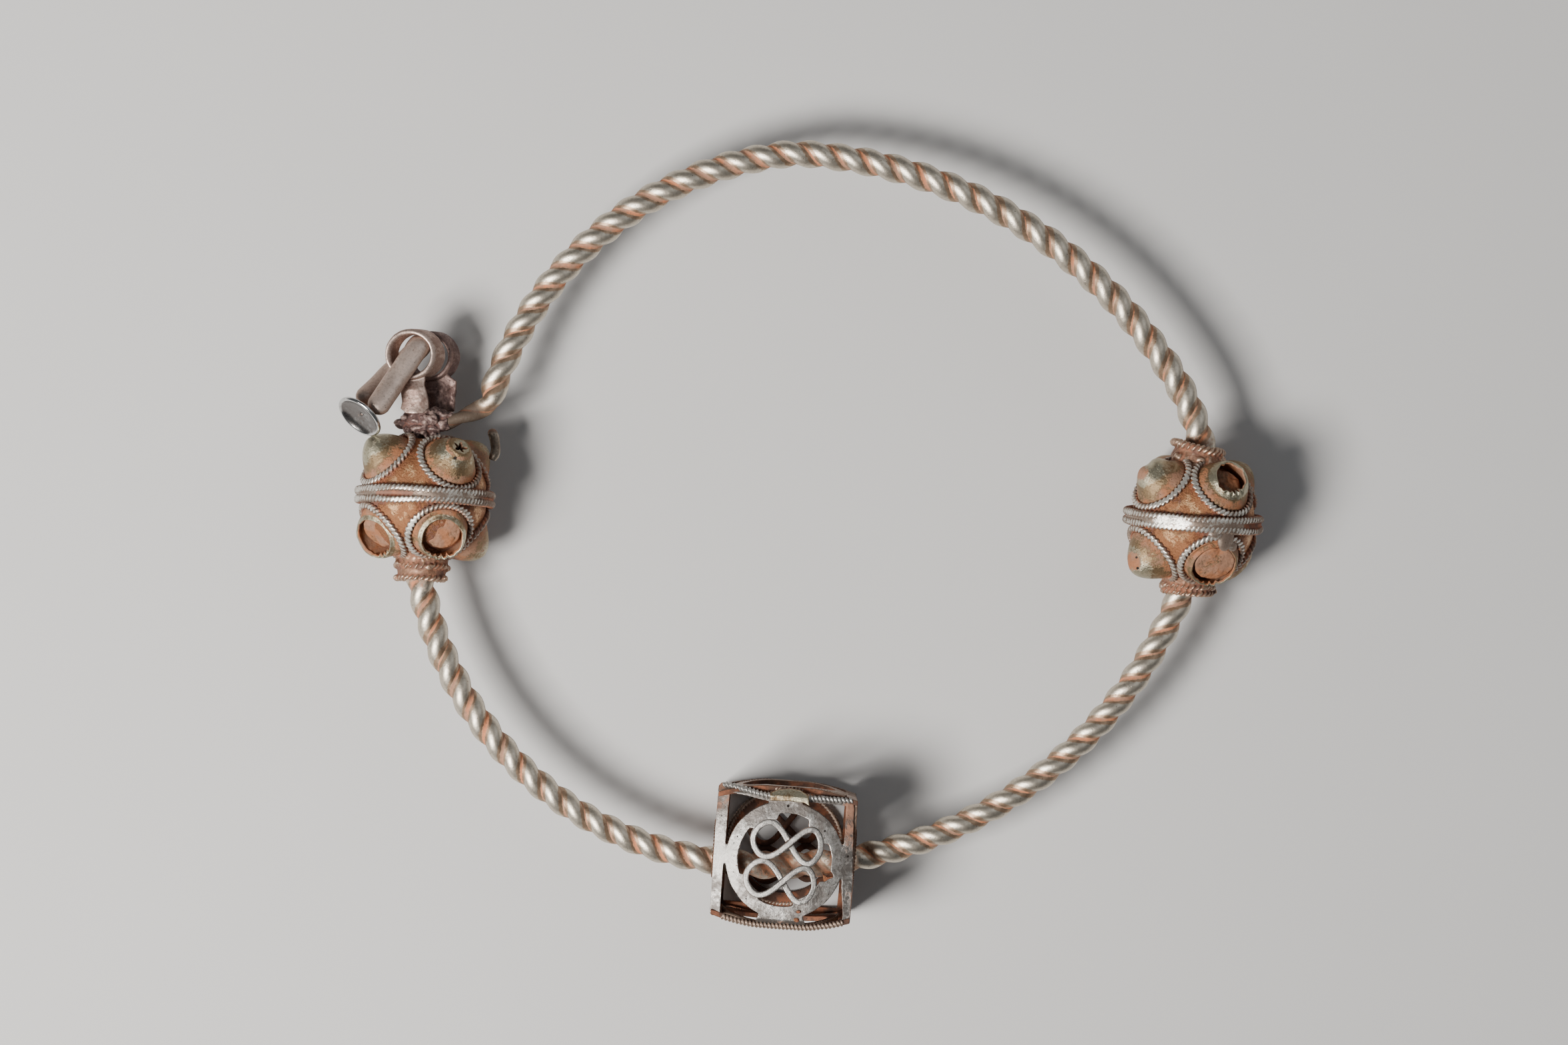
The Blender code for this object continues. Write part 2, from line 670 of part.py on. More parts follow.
def main():
    clear_scene()
    build_hoop()
    left = build_bossed_bead(
        "left", LEFT_BEAD_CENTRE, LEFT_BEAD_LEAN, LEFT_BEAD_TILT,
        {"upper": -60.0, "lower": -66.0}, {("lower", 0), ("lower", 1)},
    )
    right = build_bossed_bead(
        "right", RIGHT_BEAD_CENTRE, RIGHT_BEAD_LEAN, RIGHT_BEAD_TILT,
        {"upper": -57.0, "lower": -66.0}, {("upper", 1), ("lower", 1), ("lower", 2)},
    )
    build_collar("right", "upper", right, 1)
    build_cage()
    build_clasp(left)


main()
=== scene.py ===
"""A worn silver hoop earring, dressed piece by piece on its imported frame.

Lengths are in metres. The earring lies flat: +X across the hoop, +Y to its top and +Z up.
"""

from __future__ import annotations

import logging
import math
import sys
from collections.abc import Callable, Iterator, Sequence
from contextlib import contextmanager
from dataclasses import dataclass
from enum import Enum

import bpy
import numpy as np
from mathutils import Euler, Matrix, Vector

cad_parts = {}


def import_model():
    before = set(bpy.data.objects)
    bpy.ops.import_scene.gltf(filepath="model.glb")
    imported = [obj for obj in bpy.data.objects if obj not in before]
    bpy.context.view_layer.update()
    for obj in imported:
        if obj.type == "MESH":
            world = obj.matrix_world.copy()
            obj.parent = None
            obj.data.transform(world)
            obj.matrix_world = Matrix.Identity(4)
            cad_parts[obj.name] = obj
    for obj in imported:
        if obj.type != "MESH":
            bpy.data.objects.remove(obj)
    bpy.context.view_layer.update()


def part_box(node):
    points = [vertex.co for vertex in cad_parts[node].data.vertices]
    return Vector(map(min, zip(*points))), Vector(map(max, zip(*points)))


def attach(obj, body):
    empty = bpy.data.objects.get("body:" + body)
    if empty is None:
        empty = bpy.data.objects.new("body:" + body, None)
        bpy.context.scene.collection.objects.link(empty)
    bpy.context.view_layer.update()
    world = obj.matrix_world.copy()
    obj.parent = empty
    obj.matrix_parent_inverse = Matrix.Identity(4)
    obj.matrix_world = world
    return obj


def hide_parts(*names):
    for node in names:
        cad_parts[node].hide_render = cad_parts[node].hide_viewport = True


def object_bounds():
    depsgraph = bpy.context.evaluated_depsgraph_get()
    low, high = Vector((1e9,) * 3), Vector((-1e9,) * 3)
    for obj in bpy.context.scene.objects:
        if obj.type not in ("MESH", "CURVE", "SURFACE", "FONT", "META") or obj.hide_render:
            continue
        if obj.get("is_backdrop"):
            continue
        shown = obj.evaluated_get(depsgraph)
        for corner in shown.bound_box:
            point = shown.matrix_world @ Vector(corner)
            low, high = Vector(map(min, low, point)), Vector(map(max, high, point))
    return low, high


MM = 0.001
TURN = 2.0 * math.pi
BODY = "root"

Array = np.ndarray
Colour = tuple[float, float, float]
Point = tuple[float, ...]

LOG = logging.getLogger("earring")


# ------------------------------------------------------------------ bench tools


def deselect() -> None:
    """Leaves nothing selected, so that an operator acts only on what comes next."""
    bpy.ops.object.select_all(action="DESELECT")


def choose(*objects: bpy.types.Object) -> None:
    """Selects these objects and makes the first one active.

    Args:
        objects: The objects to select.
    """
    deselect()
    for obj in objects:
        obj.select_set(True)
    bpy.context.view_layer.objects.active = objects[0]


@contextmanager
def editing(obj: bpy.types.Object, kind: str = "VERT") -> Iterator[None]:
    """Edit mode on one object, with all of it selected.

    Args:
        obj: The mesh object to edit.
        kind: Select mode, VERT, EDGE or FACE.
    """
    choose(obj)
    bpy.ops.object.mode_set(mode="EDIT")
    bpy.ops.mesh.select_mode(type=kind)
    bpy.ops.mesh.select_all(action="SELECT")
    yield
    bpy.ops.object.mode_set(mode="OBJECT")


def tidy_faces() -> None:
    """Merges doubles, drops loose edges and turns the faces outwards, in edit mode."""
    bpy.ops.mesh.select_all(action="SELECT")
    bpy.ops.mesh.remove_doubles(threshold=1e-7)
    bpy.ops.mesh.delete_loose()
    bpy.ops.mesh.select_all(action="SELECT")
    bpy.ops.mesh.normals_make_consistent(inside=False)


def cap_ends() -> None:
    """Fills the open ends of a drawn bar, in edit mode."""
    bpy.ops.mesh.select_all(action="DESELECT")
    bpy.ops.mesh.select_non_manifold()
    bpy.ops.mesh.edge_face_add()
    tidy_faces()


def outline(points: Sequence[Point], filled: bool = False) -> bpy.types.Object:
    """A closed ring of edges through the points, drawn out from a circle.

    Args:
        points: Corners in order.
        filled: Whether the ring is filled with one face.

    Returns:
        The new object.
    """
    deselect()
    fill = "NGON" if filled else "NOTHING"
    bpy.ops.mesh.primitive_circle_add(vertices=len(points), radius=MM, fill_type=fill)
    ring = bpy.context.active_object
    ring.data.vertices.foreach_set("co", np.array(points, np.float32).ravel())
    return ring


def prism(points: Sequence[Point], low: float, high: float) -> bpy.types.Object:
    """A flat outline drawn up into a solid.

    Args:
        points: Corners of the outline, as (x, y).
        low: Height of its underside.
        high: Height of its top.

    Returns:
        The new object.
    """
    plate = outline([(x, y, low) for x, y in points], filled=True)
    with editing(plate):
        bpy.ops.mesh.extrude_region_move(TRANSFORM_OT_translate={"value": (0.0, 0.0, high - low)})
        tidy_faces()
    return plate


def turned(profile: Sequence[Point], steps: int) -> bpy.types.Object:
    """A closed profile spun round Z.

    Args:
        profile: Corners of the section, as (radius, height).
        steps: Steps round the axis.

    Returns:
        The new object.
    """
    piece = outline([(radius, 0.0, height) for radius, height in profile])
    with editing(piece):
        bpy.ops.mesh.spin(steps=steps, angle=TURN, center=(0.0, 0.0, 0.0), axis=(0.0, 0.0, 1.0))
        tidy_faces()
    return piece


def open_ring(ring: bpy.types.Object) -> None:
    """Takes away the edge between a ring's last and first points, which leaves an open line.

    Args:
        ring: An unfilled outline.
    """
    ends = {0, len(ring.data.vertices) - 1}
    with editing(ring, "EDGE"):
        bpy.ops.mesh.select_all(action="DESELECT")
    for edge in ring.data.edges:
        edge.select = set(edge.vertices) == ends
    choose(ring)
    bpy.ops.object.mode_set(mode="EDIT")
    bpy.ops.mesh.delete(type="EDGE")
    bpy.ops.object.mode_set(mode="OBJECT")


def loop_of_wire(points: Sequence[Point], radius: float, sides: int = 5) -> bpy.types.Object:
    """A round wire through the points, joined up with its own start.

    Args:
        points: Points along the wire, as (x, y, z).
        radius: Radius of the wire.
        sides: Bevel resolution of the wire.

    Returns:
        The new object.
    """
    wire = outline(points)
    choose(wire)
    bpy.ops.object.convert(target="CURVE")
    wire = bpy.context.active_object
    wire.data.bevel_depth = radius
    wire.data.bevel_resolution = sides
    wire.data.use_fill_caps = True
    bpy.ops.object.convert(target="MESH")
    wire = bpy.context.active_object
    with editing(wire):
        tidy_faces()
    return wire


def apply(obj: bpy.types.Object, kind: str, **settings: object) -> None:
    """Adds one modifier and applies it at once.

    Args:
        obj: The object to change.
        kind: Modifier type.
        settings: Its settings by name.
    """
    choose(obj)
    modifier = obj.modifiers.new(kind.title(), kind)
    for key, value in settings.items():
        setattr(modifier, key, value)
    bpy.ops.object.modifier_apply(modifier=modifier.name)


def cut(solid: bpy.types.Object, tool: bpy.types.Object) -> None:
    """Cuts a tool's shape out of a solid and removes the tool."""
    apply(solid, "BOOLEAN", operation="DIFFERENCE", solver="EXACT", object=tool)
    bpy.data.objects.remove(tool, do_unlink=True)


def fuse(parts: Sequence[bpy.types.Object], voxel: float, rounds: int) -> bpy.types.Object:
    """Runs overlapping solids together into one skin, as solder does.

    Args:
        parts: The solids.
        voxel: Size of the finest detail that is kept.
        rounds: Rounds of smoothing after it.

    Returns:
        The fused object, which is the first part.
    """
    choose(*parts)
    if len(parts) > 1:
        bpy.ops.object.join()
    fused = bpy.context.active_object
    apply(fused, "REMESH", mode="VOXEL", voxel_size=voxel, use_smooth_shade=True)
    apply(fused, "SMOOTH", factor=0.5, iterations=rounds)
    return fused


def move(obj: bpy.types.Object, matrix: Matrix) -> None:
    """Sets an object in its place and leaves the place in its mesh.

    Args:
        obj: The object, at the origin.
        matrix: Where it goes.
    """
    choose(obj)
    obj.matrix_world = matrix
    bpy.ops.object.transform_apply(location=True, rotation=True, scale=True)


def metres(points: Sequence[Point]) -> list[Point]:
    """Points that were given in millimetres."""
    return [tuple(part * MM for part in point) for point in points]


def centre_of(node: str) -> Vector:
    """The middle of a CAD node's box."""
    low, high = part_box(node)
    return (low + high) / 2.0


def cage_centre() -> Vector:
    """The openwork bead's middle, halfway between its end plates."""
    return (centre_of("openwork_left_end") + centre_of("openwork_right_end")) / 2.0


def local_direction(place: Matrix, direction: Point) -> Vector:
    """A world direction in a place's own frame."""
    return place.to_3x3().inverted() @ Vector(direction)


def facing(direction: Vector) -> Matrix:
    """A turn that takes +Z to the direction."""
    return direction.to_track_quat("Z", "Y").to_matrix().to_4x4()


def pointing(azimuth: float, latitude: float) -> Point:
    """A unit direction: azimuth is turned from -Y towards +X, and latitude is raised from there."""
    level = math.cos(latitude)
    return (level * math.sin(azimuth), -level * math.cos(azimuth), math.sin(latitude))


def ease(low: float, high: float, values: Array) -> Array:
    """A smooth step from 0 at low to 1 at high, for an array of values."""
    share = np.clip((values - low) / (high - low), 0.0, 1.0)
    return share * share * (3.0 - 2.0 * share)


def bump(values: Array, centre: float, width: float) -> Array:
    """A smooth hump, 1 at the centre and falling off over the width."""
    return np.exp(-(((values - centre) / width) ** 2))


class Grain:
    """Smooth noise in space, the same on every run."""

    CELLS = 8192
    PRIMES = np.array([73856093, 19349663, 83492791])

    def __init__(self, seed: int) -> None:
        """Draws the table of values.

        Args:
            seed: Seed of the table.
        """
        self.table = np.random.default_rng(seed).uniform(-1.0, 1.0, self.CELLS)

    def _layer(self, points: Array) -> Array:
        """One octave of noise.

        Args:
            points: Points in units of the octave's own size.

        Returns:
            One value for each point.
        """
        cell = np.floor(points).astype(np.int64)
        inner = points - cell
        inner = inner * inner * (3.0 - 2.0 * inner)
        total = np.zeros(len(points))
        for corner in range(8):
            step = np.array([corner & 1, corner >> 1 & 1, corner >> 2 & 1])
            key = ((cell + step) * self.PRIMES).sum(1) & (self.CELLS - 1)
            weight = np.prod(np.where(step, inner, 1.0 - inner), axis=1)
            total += weight * self.table[key]
        return total

    def at(self, points: Array, size: float, octaves: int) -> Array:
        """Noise from about -1 to 1.

        Args:
            points: Points in metres.
            size: Size of its largest features.
            octaves: Number of finer layers that are added.

        Returns:
            One value for each point.
        """
        total = np.zeros(len(points))
        for octave in range(octaves):
            total += self._layer(points * (2.0**octave / size) + 17.0 * octave) * 0.5**octave
        return total / (2.0 - 0.5 ** (octaves - 1))


GRAIN = Grain(11)


class Skin:
    """The points of a mesh, to be pressed, worn and painted."""

    def __init__(self, obj: bpy.types.Object) -> None:
        """Reads the mesh.

        Args:
            obj: Object whose mesh is shaped.
        """
        self.mesh = obj.data
        count = len(self.mesh.vertices)
        self.points = np.empty(count * 3)
        self.mesh.vertices.foreach_get("co", self.points)
        self.points = self.points.reshape(-1, 3)

    def normals(self) -> Array:
        """The outward direction at each point.

        Returns:
            One unit vector to a row.
        """
        found = np.empty(len(self.points) * 3)
        self.mesh.vertices.foreach_get("normal", found)
        return found.reshape(-1, 3)

    def noise(self, size: float, octaves: int) -> Array:
        """The shared noise at each point, with its largest features of the given size."""
        return GRAIN.at(self.points, size, octaves)

    def beside(self, x: float = 0.0, y: float = 0.0) -> Array:
        """Distance of each point from an upright line at x and y."""
        return np.hypot(self.points[:, 0] - x, self.points[:, 1] - y)

    def turn(self) -> Array:
        """Angle of each point about the Z axis."""
        return np.arctan2(self.points[:, 1], self.points[:, 0])

    def azimuth(self) -> Array:
        """Angle of each point about the Z axis, turned from -Y towards +X."""
        return np.arctan2(self.points[:, 0], -self.points[:, 1])

    def away(self, place: Sequence[float]) -> Array:
        """Distance of each point from a place."""
        return np.linalg.norm(self.points - np.array(place), axis=1)

    def write(self) -> None:
        """Puts the points back into the mesh."""
        self.mesh.vertices.foreach_set("co", self.points.ravel())
        self.mesh.update()

    def push(self, depths: Array) -> None:
        """Moves each point out by its depth, along its normal."""
        self.points += self.normals() * depths[:, None]
        self.write()

    def roughen(self, size: float, depth: float, octaves: int = 3) -> None:
        """Dents and lumps all over the surface.

        Args:
            size: Size of the largest lumps.
            depth: Height of the highest ones.
            octaves: Finer layers.
        """
        self.push(depth * self.noise(size, octaves))

    def hollows(self, rounds: int) -> Array:
        """How hollow the surface is at each point.

        Args:
            rounds: Rounds of smoothing that it is measured against.

        Returns:
            One value for each point, about 1 in a groove and -1 on an edge.
        """
        edges = np.empty(len(self.mesh.edges) * 2, np.int64)
        self.mesh.edges.foreach_get("vertices", edges)
        first, second = edges.reshape(-1, 2).T
        count = len(self.points)
        degree = np.maximum(np.bincount(edges, minlength=count), 1)

        def around(values: Array) -> Array:
            """Mean of the values at each point's neighbours."""
            total = np.bincount(first, values[second], count)
            return (total + np.bincount(second, values[first], count)) / degree

        smooth = self.points.T
        for _ in range(rounds):
            smooth = np.array([around(axis) for axis in smooth])
        offset = smooth.T - self.points
        length = np.linalg.norm(self.points[first] - self.points[second], axis=1).mean()
        bend = (offset * self.normals()).sum(1) / (length * math.sqrt(rounds))
        return np.clip(3.0 * around(bend), -1.0, 1.0)

    def paint(self, name: str, values: Array | float) -> None:
        """Stores one value for each point, for the material to read.

        Args:
            name: Attribute name.
            values: The values, or one for all the points, which are kept from 0 to 1.
        """
        layer = self.mesh.attributes.get(name) or self.mesh.attributes.new(name, "FLOAT", "POINT")
        kept = np.clip(np.full(len(self.points), values), 0.0, 1.0)
        layer.data.foreach_set("value", kept.astype(np.float32))

    def weather(self, hollow: Array | float, worn: Array | float) -> None:
        """Paints how far each point lies in dirt and how far it is rubbed bright; on some pieces the first
        also carries painted shade and the second a painted highlight.
        """
        for name, values in (("hollow", hollow), ("worn", worn)):
            self.paint(name, values)

    def mark(self, name: str, values: Array) -> None:
        """Paints over a value where the new one is higher.

        Args:
            name: Attribute name.
            values: The new values.
        """
        layer = self.mesh.attributes.get(name)
        if layer:
            found = np.empty(len(self.points), np.float32)
            layer.data.foreach_get("value", found)
            values = np.maximum(values, found)
        self.paint(name, values)


def drawn(section: Sequence[Point], rings: int, half_turns: float = 0.0) -> bpy.types.Object:
    """A bar drawn up from a section, 1 mm tall, turning about Z as it rises, with closed ends.

    Args:
        section: Corners of its section, as (x, y).
        rings: Steps along it.
        half_turns: Half turns from end to end.

    Returns:
        The new object.
    """
    bar = outline([(x, y, 0.0) for x, y in section])
    apply(bar, "SCREW", angle=math.pi * half_turns, screw_offset=MM, axis="Z", steps=rings,
          render_steps=rings, use_merge_vertices=False)
    with editing(bar):
        cap_ends()
    return bar


def smooth_path(points: Sequence[Point], count: int) -> Array:
    """Points at even steps along a smooth line.

    Args:
        points: Points that the line passes through.
        count: Number of points wanted.

    Returns:
        The points, one row each.
    """
    knots = np.array(points, float)
    padded = np.vstack([2.0 * knots[0] - knots[1], knots, 2.0 * knots[-1] - knots[-2]])
    fine = []
    for before, first, second, after in zip(padded, padded[1:], padded[2:], padded[3:]):
        share = np.linspace(0.0, 1.0, 16, endpoint=False)[:, None]
        fine.append(
            first + 0.5 * share * (second - before)
            + share**2 * (before - 2.5 * first + 2.0 * second - 0.5 * after)
            + share**3 * (1.5 * (first - second) + 0.5 * (after - before))
        )
    line = np.vstack([*fine, knots[-1:]])
    length = np.concatenate([[0.0], np.cumsum(np.linalg.norm(np.diff(line, axis=0), axis=1))])
    even = np.linspace(0.0, length[-1], count)
    return np.column_stack([np.interp(even, length, axis) for axis in line.T])


def sweep(bar: bpy.types.Object, path: Array, across: Sequence[float], sizes: Sequence[Point]) -> None:
    """Lays a drawn bar along a path: its X goes across, and its Y goes out.

    Args:
        bar: A bar made by drawn.
        path: Points along the path.
        across: Direction of the bar's X.
        sizes: (share of the length, scale) of the section along the bar.
    """
    skin = Skin(bar)
    share = skin.points[:, 2] / MM
    steps = np.linspace(0.0, 1.0, len(path))
    along = np.gradient(path, axis=0)
    along /= np.linalg.norm(along, axis=1)[:, None]
    side = np.array(across)[None, :] - along * (along @ np.array(across))[:, None]
    side /= np.linalg.norm(side, axis=1)[:, None]
    out = np.cross(along, side)
    centre, side, out = (
        np.column_stack([np.interp(share, steps, axis) for axis in rows.T]) for rows in (path, side, out)
    )
    scale = np.interp(share, *np.array(sizes).T)
    skin.points = centre + (side * skin.points[:, :1] + out * skin.points[:, 1:2]) * scale[:, None]
    skin.write()
    with editing(bar):
        bpy.ops.mesh.normals_make_consistent(inside=False)


def oval(width: float, thickness: float, sides: int) -> list[Point]:
    """An oval section with its width along X."""
    turns = TURN * np.arange(sides) / sides
    return [(0.5 * width * math.cos(a), 0.5 * thickness * math.sin(a)) for a in turns]


def lump(place: Point, size: Point, rough: float = 0.25) -> bpy.types.Object:
    """A knobbly blob, for solder and dirt.

    Args:
        place: Its middle.
        size: Half its length each way.
        rough: Height of the knobs, as a share of its size.

    Returns:
        The new object.
    """
    deselect()
    bpy.ops.mesh.primitive_ico_sphere_add(subdivisions=4, radius=1.0, location=(0.0, 0.0, 0.0))
    blob = bpy.context.active_object
    skin = Skin(blob)
    noise = GRAIN.at(skin.points * 0.8 * MM + np.array(place), 0.7 * MM, 3)
    skin.points = skin.points * (1.0 + rough * noise)[:, None] * np.array(size) + np.array(place)
    skin.write()
    return blob


# ------------------------------------------------------------------ finishes


class Slot(Enum):
    """The material slots."""

    WORN_SILVER = "worn_silver"
    COPPERY_SHEET = "coppery_sheet"
    BOSS_SILVER = "boss_silver"
    TRIM_SILVER = "trim_silver"
    CAGE_SILVER = "cage_silver"
    CLASP_SILVER = "clasp_silver"
    DARK_CRUST = "dark_crust"


class NodeBench:
    """Lays out the nodes of one material."""

    def __init__(self, name: str) -> None:
        """Starts the material.

        Args:
            name: Its name.
        """
        self.material = bpy.data.materials.new(name)
        self.material.use_nodes = True
        self.tree = self.material.node_tree
        self.shader = self.tree.nodes["Principled BSDF"]
        self.coords = self.tree.nodes.new("ShaderNodeTexCoord").outputs["Object"]

    def _feed(self, socket: bpy.types.NodeSocket, value: object) -> None:
        """Links a socket, or sets a plain value on it.

        Args:
            socket: The socket to feed.
            value: Another socket, a colour or a number.
        """
        if isinstance(value, bpy.types.NodeSocket):
            self.tree.links.new(value, socket)
        elif isinstance(value, tuple):
            socket.default_value = (*value, 1.0)
        else:
            socket.default_value = value

    def noise(self, size: float, detail: float, shift: float = 0.0,
              roughness: float = 0.55) -> bpy.types.NodeSocket:
        """Cloudy noise.

        Args:
            size: Size of the clouds in metres.
            detail: Layers of finer detail.
            shift: Moves the pattern, so that two of them differ.
            roughness: Strength of the finer layers.

        Returns:
            The factor socket.
        """
        move_node = self.tree.nodes.new("ShaderNodeMapping")
        move_node.inputs["Location"].default_value = (shift * MM, 0.7 * shift * MM, 0.3 * shift * MM)
        self._feed(move_node.inputs["Vector"], self.coords)
        node = self.tree.nodes.new("ShaderNodeTexNoise")
        node.inputs["Scale"].default_value = 1.0 / size
        node.inputs["Detail"].default_value = detail
        node.inputs["Roughness"].default_value = roughness
        self._feed(node.inputs["Vector"], move_node.outputs["Vector"])
        return node.outputs["Fac"]

    def pits(self, size: float) -> bpy.types.NodeSocket:
        """Distance to scattered points, for small round pits.

        Args:
            size: Spacing of the pits in metres.

        Returns:
            The distance socket.
        """
        node = self.tree.nodes.new("ShaderNodeTexVoronoi")
        node.inputs["Scale"].default_value = 1.0 / size
        self._feed(node.inputs["Vector"], self.coords)
        return node.outputs["Distance"]

    def painted(self, name: str) -> bpy.types.NodeSocket:
        """A value painted on the mesh.

        Args:
            name: Attribute name.

        Returns:
            The value socket.
        """
        node = self.tree.nodes.new("ShaderNodeAttribute")
        node.attribute_name = name
        return node.outputs["Fac"]

    def sum(self, operation: str, first: object, second: object) -> bpy.types.NodeSocket:
        """One step of arithmetic.

        Args:
            operation: Math operation.
            first: A socket or a number.
            second: A socket or a number.

        Returns:
            The value socket.
        """
        node = self.tree.nodes.new("ShaderNodeMath")
        node.operation = operation
        self._feed(node.inputs[0], first)
        self._feed(node.inputs[1], second)
        return node.outputs["Value"]

    def range(self, value: bpy.types.NodeSocket, low: float, high: float,
              start: float = 0.0, end: float = 1.0) -> bpy.types.NodeSocket:
        """A smooth step of a value.

        Args:
            value: The value socket.
            low: Where the step starts.
            high: Where it ends.
            start: Result below the step.
            end: Result above it.

        Returns:
            The result socket.
        """
        node = self.tree.nodes.new("ShaderNodeMapRange")
        node.interpolation_type = "SMOOTHSTEP"
        for key, number in (("From Min", low), ("From Max", high), ("To Min", start), ("To Max", end)):
            node.inputs[key].default_value = number
        self._feed(node.inputs["Value"], value)
        return node.outputs["Result"]

    def mix(self, factor: bpy.types.NodeSocket, first: object, second: object) -> bpy.types.NodeSocket:
        """A blend of two colours.

        Args:
            factor: Share of the second colour.
            first: A socket or a colour.
            second: A socket or a colour.

        Returns:
            The colour socket.
        """
        node = self.tree.nodes.new("ShaderNodeMix")
        node.data_type = "RGBA"
        self._feed(node.inputs["Factor"], factor)
        self._feed(node.inputs[6], first)
        self._feed(node.inputs[7], second)
        return node.outputs[2]

    def blend(self, factor: bpy.types.NodeSocket, first: object, second: object) -> bpy.types.NodeSocket:
        """A blend of two numbers.

        Args:
            factor: Share of the second number.
            first: A socket or a number.
            second: A socket or a number.

        Returns:
            The value socket.
        """
        node = self.tree.nodes.new("ShaderNodeMix")
        node.data_type = "FLOAT"
        self._feed(node.inputs["Factor"], factor)
        self._feed(node.inputs[2], first)
        self._feed(node.inputs[3], second)
        return node.outputs[0]

    def relief(self, height: bpy.types.NodeSocket, depth: float) -> None:
        """Feeds a height into the shader's normal.

        Args:
            height: Height from 0 to 1.
            depth: Metres that a height of 1 stands for.
        """
        node = self.tree.nodes.new("ShaderNodeBump")
        node.inputs["Strength"].default_value = 1.0
        node.inputs["Distance"].default_value = depth
        self._feed(node.inputs["Height"], height)
        self.tree.links.new(node.outputs["Normal"], self.shader.inputs["Normal"])

    def dress(self, **sockets: object) -> None:
        """Feeds the shader's inputs by name, with _ for a space."""
        for key, value in sockets.items():
            self._feed(self.shader.inputs[key.replace("_", " ")], value)


@dataclass(frozen=True)
class Patina:
    """Old metal: bright where it is rubbed, dull between and dirty in the hollows.

    gloss is the roughness of those three, in the same order.

    The mesh carries painted values from 0 to 1: worn, for wear and, on some pieces, a painted highlight;
    hollow, for dirt and, on some pieces, painted shade; and soot, painted near black as painted shade in
    holes and shaded insides and as a darker tarnish elsewhere. soot starts to show at 0.25 and is black from
    0.6.
    """

    name: str
    slot: Slot
    bright: Colour
    dull: Colour
    dirt: Colour
    stain: Colour
    gloss: tuple[float, float, float]
    metal: float = 1.0
    dirt_metal: float = 0.25
    dirty: float = 0.0
    contrast: float = 1.0
    mottle: float = 1.1 * MM
    relief: float = 0.02 * MM

    def build(self) -> bpy.types.Material:
        """Makes the material, once.

        Returns:
            The material.
        """
        made = bpy.data.materials.get(self.name)
        if made:
            return made
        bench = NodeBench(self.name)
        patch = bench.noise(self.mottle, 5.0, 0.0, 0.6)
        fleck = bench.noise(0.22 * self.mottle, 5.0, 3.0, 0.65)
        tone = bench.noise(1.7 * self.mottle, 3.0, 9.0)
        grit = bench.noise(0.05 * MM, 3.0, 5.0, 0.7)
        uneven = bench.sum("ADD", patch, bench.sum("MULTIPLY", fleck, 0.7))
        uneven = bench.sum("MULTIPLY", bench.sum("SUBTRACT", uneven, 0.85), self.contrast)
        # The painted hollow value brings dirt and, on some pieces, painted shade; the painted worn value
        # brings wear and, on some pieces, a painted highlight.
        dirt_and_shade_level = bench.sum("ADD", bench.painted("hollow"), bench.sum("MULTIPLY", uneven, 0.9))
        dirt = bench.range(dirt_and_shade_level, 0.45 - self.dirty, 0.79 - self.dirty)
        wear_and_highlight_level = bench.sum("ADD", bench.painted("worn"), uneven)
        worn = bench.range(wear_and_highlight_level, 0.25, 0.75)
        metal = bench.mix(worn, self.dull, self.bright)
        residue = bench.mix(bench.range(tone, 0.42, 0.58), self.dirt, self.stain)
        # Near black from the soot value: painted shade in holes and shaded insides, and a darker tarnish
        # elsewhere.
        soot = bench.range(bench.painted("soot"), 0.25, 0.6)
        colour = bench.mix(dirt, metal, residue)
        speck = bench.range(bench.pits(0.45 * MM), 0.07, 0.13, 0.35, 1.0)
        shade = bench.range(fleck, 0.25, 0.6, 0.72, 1.0)
        colour = bench.mix(bench.sum("SUBTRACT", 1.0, bench.sum("MULTIPLY", speck, shade)),
                           colour, tuple(0.22 * part for part in self.stain))
        colour = bench.mix(soot, colour, (0.012, 0.007, 0.005))
        gloss = bench.blend(worn, self.gloss[1], self.gloss[0])
        gloss = bench.blend(bench.sum("MAXIMUM", dirt, soot), gloss, self.gloss[2])
        gloss = bench.sum("ADD", gloss, bench.range(grit, 0.3, 0.7, -0.05, 0.05))
        height = bench.sum("ADD", bench.sum("MULTIPLY", fleck, 0.9), bench.sum("MULTIPLY", grit, 0.35))
        height = bench.sum("ADD", height, bench.sum("MULTIPLY", dirt, 0.5))
        height = bench.sum("ADD", height, bench.sum("MULTIPLY", speck, 0.6))
        bench.relief(height, self.relief)
        bench.dress(
            Base_Color=colour,
            Roughness=gloss,
            Metallic=bench.blend(bench.sum("MAXIMUM", dirt, soot), self.metal, self.dirt_metal),
        )
        return bench.material


@dataclass(frozen=True)
class Paper:
    """The plain pale floor."""

    name: str = "pale_floor"
    colour: Colour = (0.60, 0.595, 0.59)

    def build(self) -> bpy.types.Material:
        """Makes the floor's material.

        Returns:
            The material.
        """
        bench = NodeBench(self.name)
        mottle = bench.noise(18.0 * MM, 3.0)
        darker = tuple(0.96 * part for part in self.colour)
        bench.dress(Base_Color=bench.mix(mottle, self.colour, darker), Roughness=0.8)
        return bench.material


